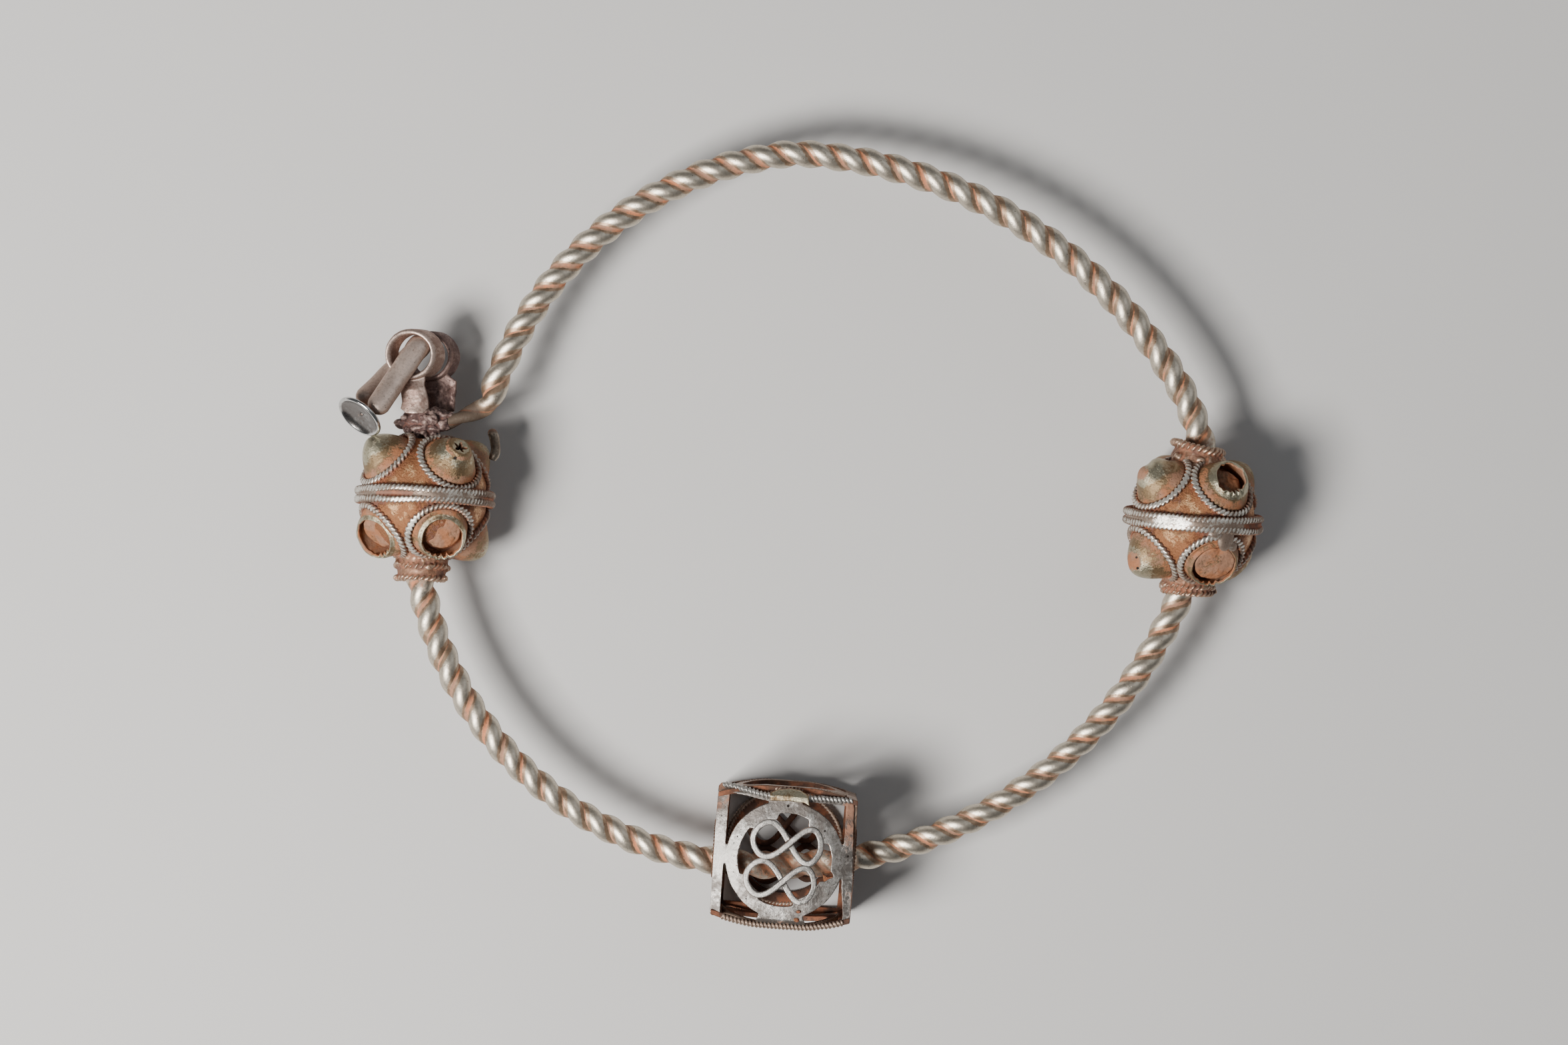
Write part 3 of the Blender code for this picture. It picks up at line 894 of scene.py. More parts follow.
WIRE_SILVER = Patina(
    "hoop_silver", Slot.WORN_SILVER,
    bright=(0.64, 0.575, 0.475), dull=(0.43, 0.30, 0.205),
    dirt=(0.57, 0.22, 0.105), stain=(0.38, 0.205, 0.13),
    gloss=(0.42, 0.50, 0.80), dirt_metal=0.1,
)
SHEET = Patina(
    "bead_sheet", Slot.COPPERY_SHEET,
    bright=(0.74, 0.45, 0.235), dull=(0.36, 0.16, 0.075),
    dirt=(0.33, 0.12, 0.06), stain=(0.22, 0.10, 0.068),
    gloss=(0.36, 0.55, 0.88), metal=0.8, dirty=0.08, contrast=2.2, mottle=0.8 * MM, relief=0.09 * MM,
)
BOSS = Patina(
    "boss_metal", Slot.BOSS_SILVER,
    bright=(0.50, 0.46, 0.335), dull=(0.28, 0.195, 0.11),
    dirt=(0.38, 0.155, 0.07), stain=(0.34, 0.18, 0.11),
    gloss=(0.33, 0.48, 0.70), dirty=0.05, contrast=1.5, mottle=0.9 * MM, relief=0.05 * MM,
)
TRIM = Patina(
    "trim_metal", Slot.TRIM_SILVER,
    bright=(0.68, 0.65, 0.59), dull=(0.29, 0.22, 0.175),
    dirt=(0.44, 0.185, 0.105), stain=(0.27, 0.14, 0.10),
    gloss=(0.33, 0.47, 0.85), metal=0.75, dirty=0.05, contrast=1.3, mottle=0.8 * MM,
)
NECK = Patina(
    "neck_metal", Slot.TRIM_SILVER,
    bright=(0.46, 0.325, 0.24), dull=(0.30, 0.165, 0.105),
    dirt=(0.33, 0.14, 0.08), stain=(0.18, 0.09, 0.065),
    gloss=(0.38, 0.55, 0.85), metal=0.8, dirty=0.08, mottle=0.8 * MM, relief=0.03 * MM,
)
CAGE = Patina(
    "cage_metal", Slot.CAGE_SILVER,
    bright=(0.38, 0.365, 0.345), dull=(0.165, 0.148, 0.135),
    dirt=(0.36, 0.19, 0.125), stain=(0.13, 0.08, 0.06),
    gloss=(0.30, 0.45, 0.80), metal=0.75, contrast=1.4, mottle=1.3 * MM, relief=0.05 * MM,
)
# A darker, browner copy of the cage metal for the side and back panels, the end plates and the back scrolls:
# partly their own tarnish, partly painted shade.
CAGE_SHADED_TARNISH = Patina(
    "cage_rough_metal", Slot.CAGE_SILVER,
    bright=(0.34, 0.25, 0.195), dull=(0.15, 0.08, 0.05),
    dirt=(0.27, 0.105, 0.055), stain=(0.09, 0.045, 0.03),
    gloss=(0.45, 0.62, 0.88), metal=0.7, dirty=0.12, mottle=1.1 * MM, relief=0.04 * MM,
)
CLASP = Patina(
    "clasp_metal", Slot.CLASP_SILVER,
    bright=(0.64, 0.51, 0.44), dull=(0.47, 0.345, 0.285),
    dirt=(0.43, 0.25, 0.18), stain=(0.30, 0.19, 0.15),
    gloss=(0.40, 0.52, 0.78), metal=0.75, mottle=1.0 * MM,
)
CLASP_PALE = Patina(
    "eye_metal", Slot.CLASP_SILVER,
    bright=(0.50, 0.385, 0.33), dull=(0.30, 0.20, 0.165),
    dirt=(0.27, 0.14, 0.11), stain=(0.19, 0.105, 0.09),
    gloss=(0.44, 0.55, 0.80), metal=0.9, mottle=0.9 * MM,
)
CLASP_DARK = Patina(
    "back_eye_metal", Slot.CLASP_SILVER,
    bright=(0.24, 0.16, 0.14), dull=(0.12, 0.07, 0.062),
    dirt=(0.15, 0.075, 0.06), stain=(0.075, 0.04, 0.038),
    gloss=(0.38, 0.58, 0.88), metal=0.7, mottle=0.8 * MM, relief=0.04 * MM,
)
DISH = Patina(
    "button_metal", Slot.CLASP_SILVER,
    bright=(0.60, 0.60, 0.59), dull=(0.17, 0.16, 0.155),
    dirt=(0.46, 0.20, 0.10), stain=(0.34, 0.19, 0.14),
    gloss=(0.17, 0.26, 0.66), dirty=-0.03, mottle=1.6 * MM, relief=0.008 * MM,
)
STUB = Patina(
    "stub_metal", Slot.CLASP_SILVER,
    bright=(0.34, 0.29, 0.235), dull=(0.20, 0.155, 0.12),
    dirt=(0.36, 0.16, 0.08), stain=(0.20, 0.115, 0.08),
    gloss=(0.40, 0.52, 0.80), metal=0.9, mottle=0.9 * MM,
)
CRUST = Patina(
    "crust_dirt", Slot.DARK_CRUST,
    bright=(0.34, 0.235, 0.205), dull=(0.11, 0.064, 0.058),
    dirt=(0.21, 0.105, 0.084), stain=(0.075, 0.04, 0.036),
    gloss=(0.36, 0.60, 0.90), metal=0.35, dirty=0.02, mottle=0.6 * MM, relief=0.05 * MM,
)


def settle(obj: bpy.types.Object, name: str, finish: Patina, *nodes: str) -> None:
    """Names and dresses a finished piece, and hands it to the frame.

    Args:
        obj: The piece, in its place.
        name: Its name.
        finish: Its finish.
        nodes: CAD nodes that it stands for.
    """
    choose(obj)
    bpy.ops.object.transform_apply(location=True, rotation=True, scale=True)
    obj.name = name
    obj.data.name = name
    obj.data.materials.clear()
    obj.data.materials.append(finish.build())
    bpy.ops.object.shade_smooth()
    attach(obj, BODY)
    if nodes:
        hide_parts(*nodes)
    LOG.info("%s: %d faces, for %s", name, len(obj.data.polygons), ", ".join(nodes) or "no node")


# ------------------------------------------------------------------ twisted wire


def lobed(angle: Array, strand: float) -> Array:
    """Outline of two touching wires seen end on, as a share of their outer radius.

    Args:
        angle: Angle from the line through the two wires.
        strand: Radius of each wire, as a share of the outer radius.

    Returns:
        The radius at each angle.
    """
    apart = 1.0 - strand
    return apart * np.abs(np.cos(angle)) + np.sqrt(strand**2 - (apart * np.sin(angle)) ** 2)


@dataclass
class RopeRing:
    """A ring of two fine wires twisted together, lying round Z."""

    radius: float
    wire: float
    lay: float
    strand: float = 0.62
    sides: int = 12
    steps_per_lay: int = 5

    def build(self) -> bpy.types.Object:
        """Makes the ring at the origin and paints its grooves.

        Returns:
            The new object.
        """
        lobes = 2 * round(TURN * self.radius / self.lay / 2.0)
        deselect()
        bpy.ops.mesh.primitive_torus_add(
            major_segments=lobes * self.steps_per_lay, minor_segments=self.sides,
            major_radius=self.radius, minor_radius=self.wire,
        )
        ring = bpy.context.active_object
        skin = Skin(ring)
        round_axis = skin.turn()
        out = skin.beside() - self.radius
        section = np.arctan2(skin.points[:, 2], out)
        size = lobed(section - round_axis * lobes / 2.0, self.strand)
        skin.paint("hollow", 1.0 - ease(2.0 * self.strand - 1.0 + 0.12, 0.92, size))
        reach = self.radius + self.wire * size * np.cos(section)
        skin.points[:, 0] = reach * np.cos(round_axis)
        skin.points[:, 1] = reach * np.sin(round_axis)
        skin.points[:, 2] = self.wire * size * np.sin(section)
        skin.write()
        return ring


@dataclass
class Hoop:
    """The hoop: two wires twisted together and bent round in a plane."""

    radius: float = 1.23 * MM
    strand: float = 0.75
    groove_fill: float = 0.725
    sides: int = 44
    rings_per_half_turn: int = 12
    start: tuple[float, float] = (-25.76 * MM, 12.46 * MM)
    heading: float = math.radians(70.9)
    # Each bend is (length along the wire, radius), in millimetres; every bend turns to the right.
    bends: tuple[Point, ...] = (
        (32.9, 29.4), (2.0, 10.7), (37.8, 39.3), (14.2, 17.6), (49.2, 36.8), (6.4, 35.6), (39.6, 28.9),
    )
    chord: float = 0.94
    chord_parts: int = 3
    tail: tuple[Point, ...] = (
        (-30.0, 9.3), (-29.0, 9.75), (-28.2, 10.1), (-27.3, 10.45), (-26.5, 10.85), (-26.05, 11.3),
    )
    # Share of the full radius at lengths along the wire, in millimetres.
    tail_sizes: tuple[Point, ...] = (
        (-5.7, 0.46), (-4.6, 0.52), (-3.7, 0.58), (-2.7, 0.64), (-1.6, 0.76), (-0.6, 0.93),
    )
    # Lengths along the wire, in millimetres, at which the given half turn of the twist is complete.
    twist: tuple[Point, ...] = (
        (-5.7, -3.4), (1.15, -1.0), (3.7, 0.0), (12.8, 4.0), (29.0, 11.0), (36.0, 14.0), (52.96, 21.0),
        (60.05, 23.95), (72.05, 29.0), (98.05, 40.0), (107.9, 44.36), (120.95, 50.0), (145.7, 61.0),
        (161.47, 68.0), (173.25, 73.0), (182.1, 76.8),
    )
    sizes: tuple[Point, ...] = (
        (2.0, 0.975), (20.0, 0.99), (28.0, 0.985), (34.0, 0.955), (42.0, 0.985), (72.0, 1.015),
        (92.0, 0.99), (100.0, 0.955), (110.0, 0.92), (120.0, 0.94), (126.0, 0.96), (144.0, 0.98),
        (152.0, 0.935), (160.0, 0.96), (168.0, 1.01), (182.0, 1.02),
    )
    height: float = 5.95 * MM

    def path(self) -> list[Point]:
        """Lays out the middle of the wire.

        Returns:
            Its points, from the tail's tip to the far end.
        """
        points = metres(self.tail)
        (x, y), heading = self.start, self.heading
        points.append((x, y))
        for length, radius in self.bends:
            steps = round(length / self.chord) * self.chord_parts
            turn = length / steps / radius
            for _ in range(steps):
                chord = 2.0 * radius * math.sin(turn / 2.0) * MM
                x += chord * math.cos(heading - turn / 2.0)
                y += chord * math.sin(heading - turn / 2.0)
                heading -= turn
                points.append((x, y))
        return [(x, y, self.height) for x, y in points]

    def straight(self) -> bpy.types.Object:
        """The twisted wire laid out straight along +X, from the tail's tip.

        Returns:
            The new object.
        """
        angles = TURN * np.arange(self.sides) / self.sides
        size = self.radius * lobed(angles, self.strand)
        wire = outline([(r * math.cos(a), r * math.sin(a), 0.0) for r, a in zip(size, angles)])
        marks, turns = np.array(self.twist).T
        half_turns = turns[-1] - turns[0]
        steps = round(half_turns * self.rings_per_half_turn)
        apply(wire, "SCREW", angle=math.pi * half_turns, screw_offset=half_turns * MM, axis="Z",
              steps=steps, render_steps=steps)
        with editing(wire):
            cap_ends()
        skin = Skin(wire)
        along = np.interp(turns[0] + skin.points[:, 2] / MM, turns, marks) * MM
        share = skin.beside() / self.radius
        angle = skin.turn()
        place = np.column_stack([along, skin.points[:, 0], skin.points[:, 1]])
        dirt = GRAIN.at(place, 5.0 * MM, 3)
        fill = self.groove_fill + 0.03 * GRAIN.at(place, 0.5 * MM, 3) + 0.02 * dirt
        filled = np.maximum(share, fill)
        filled += 0.012 * GRAIN.at(place, 0.9 * MM, 3)
        scale = np.interp(along / MM, *np.array(self.tail_sizes + self.sizes).T)
        reach = filled * scale * self.radius
        skin.points = np.column_stack(
            [along - along.min(), reach * np.cos(angle), reach * np.sin(angle)]
        )
        skin.write()
        old = 1.0 - ease(-1.5, 2.0, along / MM)
        tail = 1.0 - ease(-2.7, -0.9, along / MM)
        skin.weather(
            hollow=1.18 - ease(0.685, 0.82, share - 0.05 * dirt) + 0.22 * dirt + 0.18 * old,
            worn=1.15 * ease(0.78, 0.97, share) - 0.10 - 0.45 * old - 0.3 * tail,
        )
        skin.paint("soot", 0.52 * tail + 0.03 * tail * dirt)
        return wire

    def build(self) -> None:
        """Makes the hoop and bends it round."""
        wire = self.straight()
        line = self.path()
        path = outline(line)
        open_ring(path)
        choose(path)
        bpy.ops.object.convert(target="CURVE")
        path = bpy.context.active_object
        path.data.twist_mode = "Z_UP"
        if (path.data.splines[0].points[0].co.xyz - Vector(line[0])).length > 0.01 * MM:
            choose(path)
            bpy.ops.object.mode_set(mode="EDIT")
            bpy.ops.curve.select_all(action="SELECT")
            bpy.ops.curve.switch_direction()
            bpy.ops.object.mode_set(mode="OBJECT")
        apply(wire, "CURVE", object=path, deform_axis="POS_X")
        bpy.data.objects.remove(path, do_unlink=True)
        skin = Skin(wire)
        # Painted shade with dirt: inside the openwork bead the wire is painted darker and dirtier.
        cage = cage_centre() + Vector((0.8 * MM, 0.0, 0.0))
        shade_within = 1.0 - ease(5.2 * MM, 7.2 * MM, skin.away(cage))
        skin.mark("hollow", 0.60 * shade_within)
        for node in ("right_bead_upper_collar", "right_bead_lower_collar", "left_bead_lower_collar"):
            skin.mark("hollow", 0.62 * bump(skin.away(centre_of(node)), 0.0, 2.9 * MM))
        skin.mark("soot", 0.34 * shade_within)
        settle(wire, "worn_hoop", WIRE_SILVER, "hoop")


# ------------------------------------------------------------------ bossed beads


class Row(Enum):
    """The two rows of bosses on a bead, with the sign of their latitude."""

    UPPER = 1
    LOWER = -1


@dataclass(frozen=True)
class Remains:
    """What is left of a boss, and the disc of sheet that shows in a broken one.

    hole is the radius at which the dome stops, ragged is how far its rim wanders, dirty_to is where dirt
    gives way to metal as shares of its height, and rim is the width of the bright edge.
    """

    hole: float = 0.0
    ragged: float = 0.0
    dirty_to: tuple[float, float] = (0.10, 0.75)
    rim: float = 0.32 * MM
    disc: float = 0.0
    disc_height: float = 0.0
    disc_slide: float = 0.0
    disc_rough: float = 0.10 * MM
    nippled: bool = False
    # Whether the floor inside is painted dark, as painted shade.
    shaded_inside: bool = False


class BossState(Enum):
    """How much of a boss is left. No two have equal values, which an Enum would take for one."""

    WHOLE = Remains(dirty_to=(0.05, 0.62))
    NIPPLED = Remains(dirty_to=(0.05, 0.62), nippled=True)
    OPEN = Remains(1.80 * MM, 0.30 * MM, disc=1.46 * MM, disc_height=5.20 * MM, disc_slide=0.22 * MM)
    WIDE_OPEN = Remains(1.96 * MM, 0.22 * MM, disc=1.68 * MM, disc_height=5.38 * MM, disc_slide=0.16 * MM)
    TORN = Remains(
        1.45 * MM, 0.42 * MM, (0.25, 0.50), 0.50 * MM, 1.25 * MM, 5.25 * MM, disc_rough=0.35 * MM, shaded_inside=True,
    )


# A dent narrower than this, in millimetres, stands for a hole right through and is painted black, as painted
# shade.
PINHOLE = 0.2


@dataclass(frozen=True)
class Dent:
    """A place pressed in or stained from above, in millimetres across and up from the bead's middle."""

    across: float
    up: float
    width: float
    depth: float
    dirt: float = 0.0


@dataclass(frozen=True)
class Collar:
    """A collar: its end of the bore, its wires and its knobs.

    A wire is (radius, wire radius, height) and a knob is (degrees, height, size), in millimetres.
    """

    end: int
    rings: tuple[Point, ...]
    knobs: tuple[Point, ...] = ()
    foot: float = 2.95 * MM
    slope: float = 0.0


@dataclass
class Boss:
    """A hollow dome of sheet, soldered on the bead, whole or broken open."""

    state: BossState
    foot_radius: float = 2.4 * MM
    height: float = 2.35 * MM
    foot: float = 4.79 * MM
    wall: float = 0.22 * MM
    fullness: float = 1.9
    steps: int = 128
    rows: int = 40
    lip: float = 0.15 * MM
    nipple: float = 0.98 * MM
    crater: float = 0.20 * MM
    slant: float = 0.0
    low_side: Point = (1.0, 0.0)
    bottom: float = 0.0

    @property
    def left(self) -> Remains:
        """What is left of it."""
        return self.state.value

    def level(self, radius: Array) -> Array:
        """Height of the dome at a radius."""
        return self.foot + self.height * (1.0 - np.abs(radius / self.foot_radius) ** self.fullness)

    def section(self) -> list[Point]:
        """The dome's outer line.

        Returns:
            Its points from foot to tip or rim, as (radius, height).
        """
        radii = np.linspace(self.foot_radius, self.left.hole, self.rows + 1)
        points = [(radius, height) for radius, height in zip(radii, self.level(radii))]
        if self.left.hole:
            radius, height = points[-1]
            points += [
                (radius - self.lip * math.sin(turn), height - self.lip * (1.0 - math.cos(turn)))
                for turn in (0.5, 1.0, 1.5, 2.1)
            ]
        return points

    def lean(self, skin: Skin, weight: Array) -> None:
        """Lowers what is left of a broken dome towards one side.

        Args:
            skin: The points to lower.
            weight: Share of the whole slant at each point.
        """
        skin.points[:, 2] -= self.slant * weight * (skin.points[:, :2] @ np.array(self.low_side))

    def tear(self, skin: Skin, turn: Array, radius: Array) -> None:
        """Makes the rim of a broken dome uneven, with small teeth at its lower side.

        Args:
            skin: The dome.
            turn: Angle of each point about the axis.
            radius: Distance of each point from the axis.
        """
        around = np.column_stack([np.cos(turn), np.sin(turn), 0.0 * turn]) * MM
        away = (turn - self.bottom + math.pi) % TURN - math.pi
        ragged = 0.5 * GRAIN.at(around, 0.45 * MM, 3)
        teeth = np.maximum(np.sin(15.0 * away + 2.0 * np.sin(3.0 * away)), 0.0)
        ragged += 0.9 * teeth * bump(away, 0.1, 0.65)
        rim = ease(self.left.hole + 0.30 * MM, self.left.hole - 0.05 * MM, radius)
        inner = rim * ragged * self.left.ragged
        skin.points[:, :2] *= (1.0 - inner / np.maximum(radius, 0.1 * MM))[:, None]
        skin.points[:, 2] -= 0.7 * np.abs(inner) * rim
        self.lean(skin, ease(self.foot_radius, self.left.hole + 0.1 * MM, radius))

    def star(self, skin: Skin, turn: Array, radius: Array) -> None:
        """Flattens the tip into a small crater, with a star-shaped pit in it that is painted black as the
        shade of a hole.

        Args:
            skin: The dome.
            turn: Angle of each point about the axis.
            radius: Distance of each point from the axis.
        """
        inside = 1.0 - ease(self.nipple - 0.16 * MM, self.nipple + 0.20 * MM, radius)
        dip = self.crater * bump(radius, 0.0, 0.60 * MM)
        flat = float(self.level(np.array(self.nipple))) + self.crater - dip
        skin.points[:, 2] += inside * (flat - skin.points[:, 2])
        points = 0.35 + 0.16 * np.cos(5.0 * turn + 0.6) + 0.06 * np.cos(2.0 * turn)
        hole = 1.0 - ease(0.85, 1.15, radius / (points * MM))
        skin.points[:, 2] -= 0.75 * MM * hole
        # The pit is painted black, as painted shade in a hole.
        skin.paint("soot", hole)

    def build(self) -> bpy.types.Object:
        """Makes the boss standing on +Z.

        Returns:
            The new object.
        """
        dome = outline([(radius, 0.0, height) for radius, height in self.section()])
        open_ring(dome)
        with editing(dome):
            bpy.ops.mesh.spin(steps=self.steps, angle=TURN, center=(0.0, 0.0, 0.0), axis=(0.0, 0.0, 1.0))
            tidy_faces()
        skin = Skin(dome)
        radius = skin.beside()
        turn = skin.turn()
        if self.left.nippled:
            self.star(skin, turn, radius)
        elif self.left.hole:
            self.tear(skin, turn, radius)
        skin.write()
        apply(dome, "SOLIDIFY", thickness=self.wall, offset=-1.0, use_even_offset=False)
        return dome

    def floor(self, up: Vector) -> bpy.types.Object:
        """Makes the disc of sheet that shows in the bottom of a broken boss.

        Args:
            up: Direction that it has slid towards.

        Returns:
            The new object.
        """
        size, height = self.left.disc, self.left.disc_height
        disc = turned([
            (0.01 * MM, height + 0.10 * MM), (0.6 * size, height + 0.06 * MM), (0.95 * size, height),
            (size, height - 0.06 * MM), (size, height - 0.3 * MM), (0.01 * MM, height - 0.3 * MM),
        ], 72)
        disc = fuse([disc], 0.06 * MM, 2)
        skin = Skin(disc)
        skin.points += np.array(up) * self.left.disc_slide
        skin.points[:, 2] += 0.10 * (skin.points @ np.array(up))
        self.lean(skin, np.full(len(skin.points), 0.85))
        skin.write()
        skin.roughen(0.8 * MM, self.left.disc_rough)
        skin.roughen(0.3 * MM, 0.35 * self.left.disc_rough, 2)
        return disc


@dataclass
class BossedBead:
    """A hollow ball of sheet with two rows of bosses, a band and collars of twisted wire."""

    side: str
    lean: float
    tilt: float
    first_azimuths: dict[Row, float]
    states: dict[Row, tuple[BossState, ...]]
    dents: dict[str, tuple[Dent, ...]]
    slants: dict[str, float]
    nudges: dict[str, float]
    gap_place: float
    gap_width: float
    ropey_from: float
    patches: tuple[Point, ...]
    collars: tuple[Collar, ...]
    radius: float = 5.2 * MM
    wall: float = 0.35 * MM
    bore: float = 1.85 * MM
    latitude: float = math.radians(40.0)
    trim_ring: float = 2.7 * MM
    trim_wire: float = 0.33 * MM
    trim_lay: float = 0.42 * MM
    trim_seat: float = 4.66 * MM
    band_ring: float = 5.58 * MM
    band_wire: float = 0.38 * MM
    band_lay: float = 0.38 * MM
    band_apart: float = 0.36 * MM
    band_spread: float = 0.14 * MM
    strand: float = 0.60
    wear: float = 0.19 * MM
    patch_rise: float = 0.16 * MM
    patch_depth: float = 0.36 * MM
    collar_lay: float = 0.44 * MM
    collar_strand: float = 0.57
    knob_ring: float = 2.05 * MM
    # In each row, the bosses from this number on face away and are painted darker all over, as painted shade.
    shown_bosses: int = 2
    away_boss_shade: float = 0.30

    def place(self) -> Matrix:
        """The bead's place: its bore along Z and its upper side towards -Y."""
        turn = Euler((-math.pi / 2.0 - self.tilt, 0.0, -self.lean)).to_matrix().to_4x4()
        return Matrix.Translation(centre_of(f"{self.side}_bead_band")) @ turn

    def label(self, row: Row, index: int) -> str:
        """A boss's row and number, counted from 1, as the tables of dents, slants and nudges name it."""
        return f"{row.name.lower()}_{index + 1}"

    def direction(self, row: Row, index: int) -> Vector:
        """Where a boss points, in the bead's own frame.

        Args:
            row: Its row.
            index: Its number in the row, from 0.

        Returns:
            A unit vector.
        """
        nudge = self.nudges.get(self.label(row, index), 0.0)
        azimuth = self.first_azimuths[row] + TURN * index / 4.0 + nudge
        latitude = (self.latitude - 0.6 * abs(nudge)) * row.value
        return Vector(pointing(azimuth, latitude))

    def sand(self, skin: Skin, top: float, flush: Array | float = 0.0) -> None:
        """Rubs a wire flat where it stands proud on the side that shows.

        Args:
            skin: The wire, in its final place.
            top: Distance of its highest points from the bead's middle.
            flush: Share of bare solder at each point, which stays clean however low it lies.
        """
        middle = np.array(centre_of(f"{self.side}_bead_band"))
        out = skin.points - middle
        reach = np.linalg.norm(out, axis=1)
        out /= reach[:, None]
        shown = ease(0.0, 0.8, out @ np.array((-0.25, 0.05, 0.97)))
        patch = 0.80 + 0.75 * skin.noise(2.2 * MM, 2)
        limit = top - self.wear * shown * patch + 0.02 * MM * skin.noise(0.4 * MM, 2)
        pressed = np.maximum(reach - limit, 0.0)
        skin.points = middle + out * (reach - pressed)[:, None]
        skin.write()
        rubbed = ease(0.0, 0.05 * MM, pressed)
        deep = ease(0.07 * MM, 0.26 * MM, limit - reach) * (1.0 - flush)
        tone = skin.noise(1.7 * MM, 2)
        cloud = skin.noise(1.3 * MM, 2)
        skin.weather(
            hollow=0.24 + 0.78 * deep - 0.18 * rubbed - 0.2 * flush + 0.15 * cloud,
            worn=0.24 + 0.62 * rubbed - 0.5 * deep - 0.15 * flush + 0.35 * tone,
        )

    def shell(self) -> None:
        """Makes the ball."""
        profile = []
        for radius, rows, way in ((self.radius, 44, 1.0), (self.radius - self.wall, 18, -1.0)):
            limit = math.asin(self.bore / radius)
            polars = np.linspace(limit, math.pi - limit, rows)[:: int(way)]
            profile += [(radius * math.sin(polar), radius * math.cos(polar)) for polar in polars]
        ball = turned(profile, 144)
        skin = Skin(ball)
        reach = np.linalg.norm(skin.points, axis=1)
        unit = skin.points / reach[:, None]
        outside = ease(self.radius - 0.25 * MM, self.radius - 0.10 * MM, reach)
        nearest = np.full(len(reach), math.pi)
        for row in Row:
            for index in range(4):
                cosine = unit @ np.array(self.direction(row, index))
                nearest = np.minimum(nearest, np.arccos(np.clip(cosine, -1.0, 1.0)))
        ring = math.atan2(self.trim_ring, self.trim_seat)
        lumps = 0.09 * MM * skin.noise(1.9 * MM, 2) + 0.035 * MM * skin.noise(0.5 * MM, 2)
        between = ease(ring + 0.03, ring + 0.22, nearest)
        fillet = 0.13 * MM * bump(nearest, ring, 0.055)
        skin.push(outside * (lumps * between - 0.05 * MM * between + fillet))
        by_wire = bump(nearest, ring, 0.075)
        by_band = bump(np.abs(skin.points[:, 2]), 0.6 * MM, 0.45 * MM)
        inside_boss = 1.0 - ease(ring - 0.10, ring - 0.04, nearest)
        hollow = 0.18 + 0.42 * by_wire + 0.45 * by_band + 0.30 * inside_boss + 0.6 * (1.0 - outside)
        skin.weather(
            hollow=hollow + 0.30 * skin.noise(1.5 * MM, 3),
            worn=outside * (0.75 * between - 0.25) + 0.6 * skin.noise(1.1 * MM, 3),
        )
        move(ball, self.place())
        settle(ball, f"worn_{self.side}_bead_shell", SHEET, f"{self.side}_bead_shell")

    def boss(self, row: Row, index: int) -> None:
        """Makes one boss and the wire round it.

        Args:
            row: Its row.
            index: Its number in the row, from 0.
        """
        name = f"{self.side}_{row.name.lower()}_boss_{index + 1}"
        place = self.place() @ facing(self.direction(row, index))
        view = local_direction(place, (0.0, 0.0, 1.0))
        slant = self.slants.get(self.label(row, index), 0.0)
        down = local_direction(place, (0.0, -1.0, 0.0))
        boss = Boss(
            self.states[row][index], slant=slant, low_side=tuple(view.xy.normalized()),
            bottom=math.atan2(down.y, down.x),
        )
        left = boss.left
        dome = boss.build()
        # A boss that faces away gets painted shade all over.
        self.age(boss, Skin(dome), self.away_boss_shade if index >= self.shown_bosses else 0.0)
        if left.hole:
            up = local_direction(place, (0.35, 1.0, 0.0))
            floor = boss.floor(Vector((up.x, up.y, 0.0)).normalized())
            skin = Skin(floor)
            skin.weather(0.82 + 0.12 * skin.noise(0.9 * MM, 3), 0.5)
            # A torn boss's floor is painted dark, as painted shade inside it.
            if left.shaded_inside:
                skin.paint("soot", 0.28 + 0.12 * skin.noise(0.5 * MM, 3))
            choose(dome, floor)
            bpy.ops.object.join()
        move(dome, place)
        skin = Skin(dome)
        self.press(skin, self.dents.get(self.label(row, index), ()), place)
        skin.roughen(1.5 * MM, 0.06 * MM)
        settle(dome, f"worn_{name}", BOSS, name)
        self.trim(name, place)

    def age(self, boss: Boss, skin: Skin, shade_all_over: float) -> None:
        """Paints a boss: dirt at its foot and inside, metal above, a bright broken rim, and painted shade if
        it faces away.

        Args:
            boss: The boss.
            skin: Its points, standing on +Z.
            shade_all_over: Painted shade all over it, on a boss that faces away.
        """
        left = boss.left
        radius = skin.beside()
        normals = skin.normals()
        outward = (normals[:, :2] * skin.points[:, :2]).sum(1) / np.maximum(radius, 0.1 * MM)
        inner = ease(0.15, -0.15, outward + 0.9 * normals[:, 2])
        level = (skin.points[:, 2] - boss.foot) / boss.height
        level += 0.22 * skin.noise(1.9 * MM, 2)
        low = 1.0 - ease(*left.dirty_to, level)
        rim = ease(left.hole + left.rim, left.hole + left.rim - 0.2 * MM, radius) * (left.hole > 0.0)
        if boss.state is BossState.WIDE_OPEN:
            towards = skin.points[:, :2] @ np.array((math.cos(boss.bottom), math.sin(boss.bottom)))
            rim *= 0.15 + 0.85 * ease(-0.2, 0.9, towards / np.maximum(radius, 0.1 * MM))
        crater = bump(radius, 0.0, 0.42 * MM) + 1.6 * bump(radius, boss.nipple + 0.16 * MM, 0.10 * MM)
        crater *= left.nippled
        lip = bump(radius, boss.nipple, 0.26 * MM) * left.nippled
        hollow = 0.12 + shade_all_over + 0.58 * low + 0.80 * inner - 0.5 * rim * (1.0 - inner)
        worn = 0.05 - shade_all_over + 0.85 * ease(0.25, 0.85, level) + 0.5 * rim - 0.8 * inner - 0.9 * lip
        skin.weather(hollow + 0.3 * crater + 0.15 * lip + 0.22 * skin.noise(1.6 * MM, 3), worn)

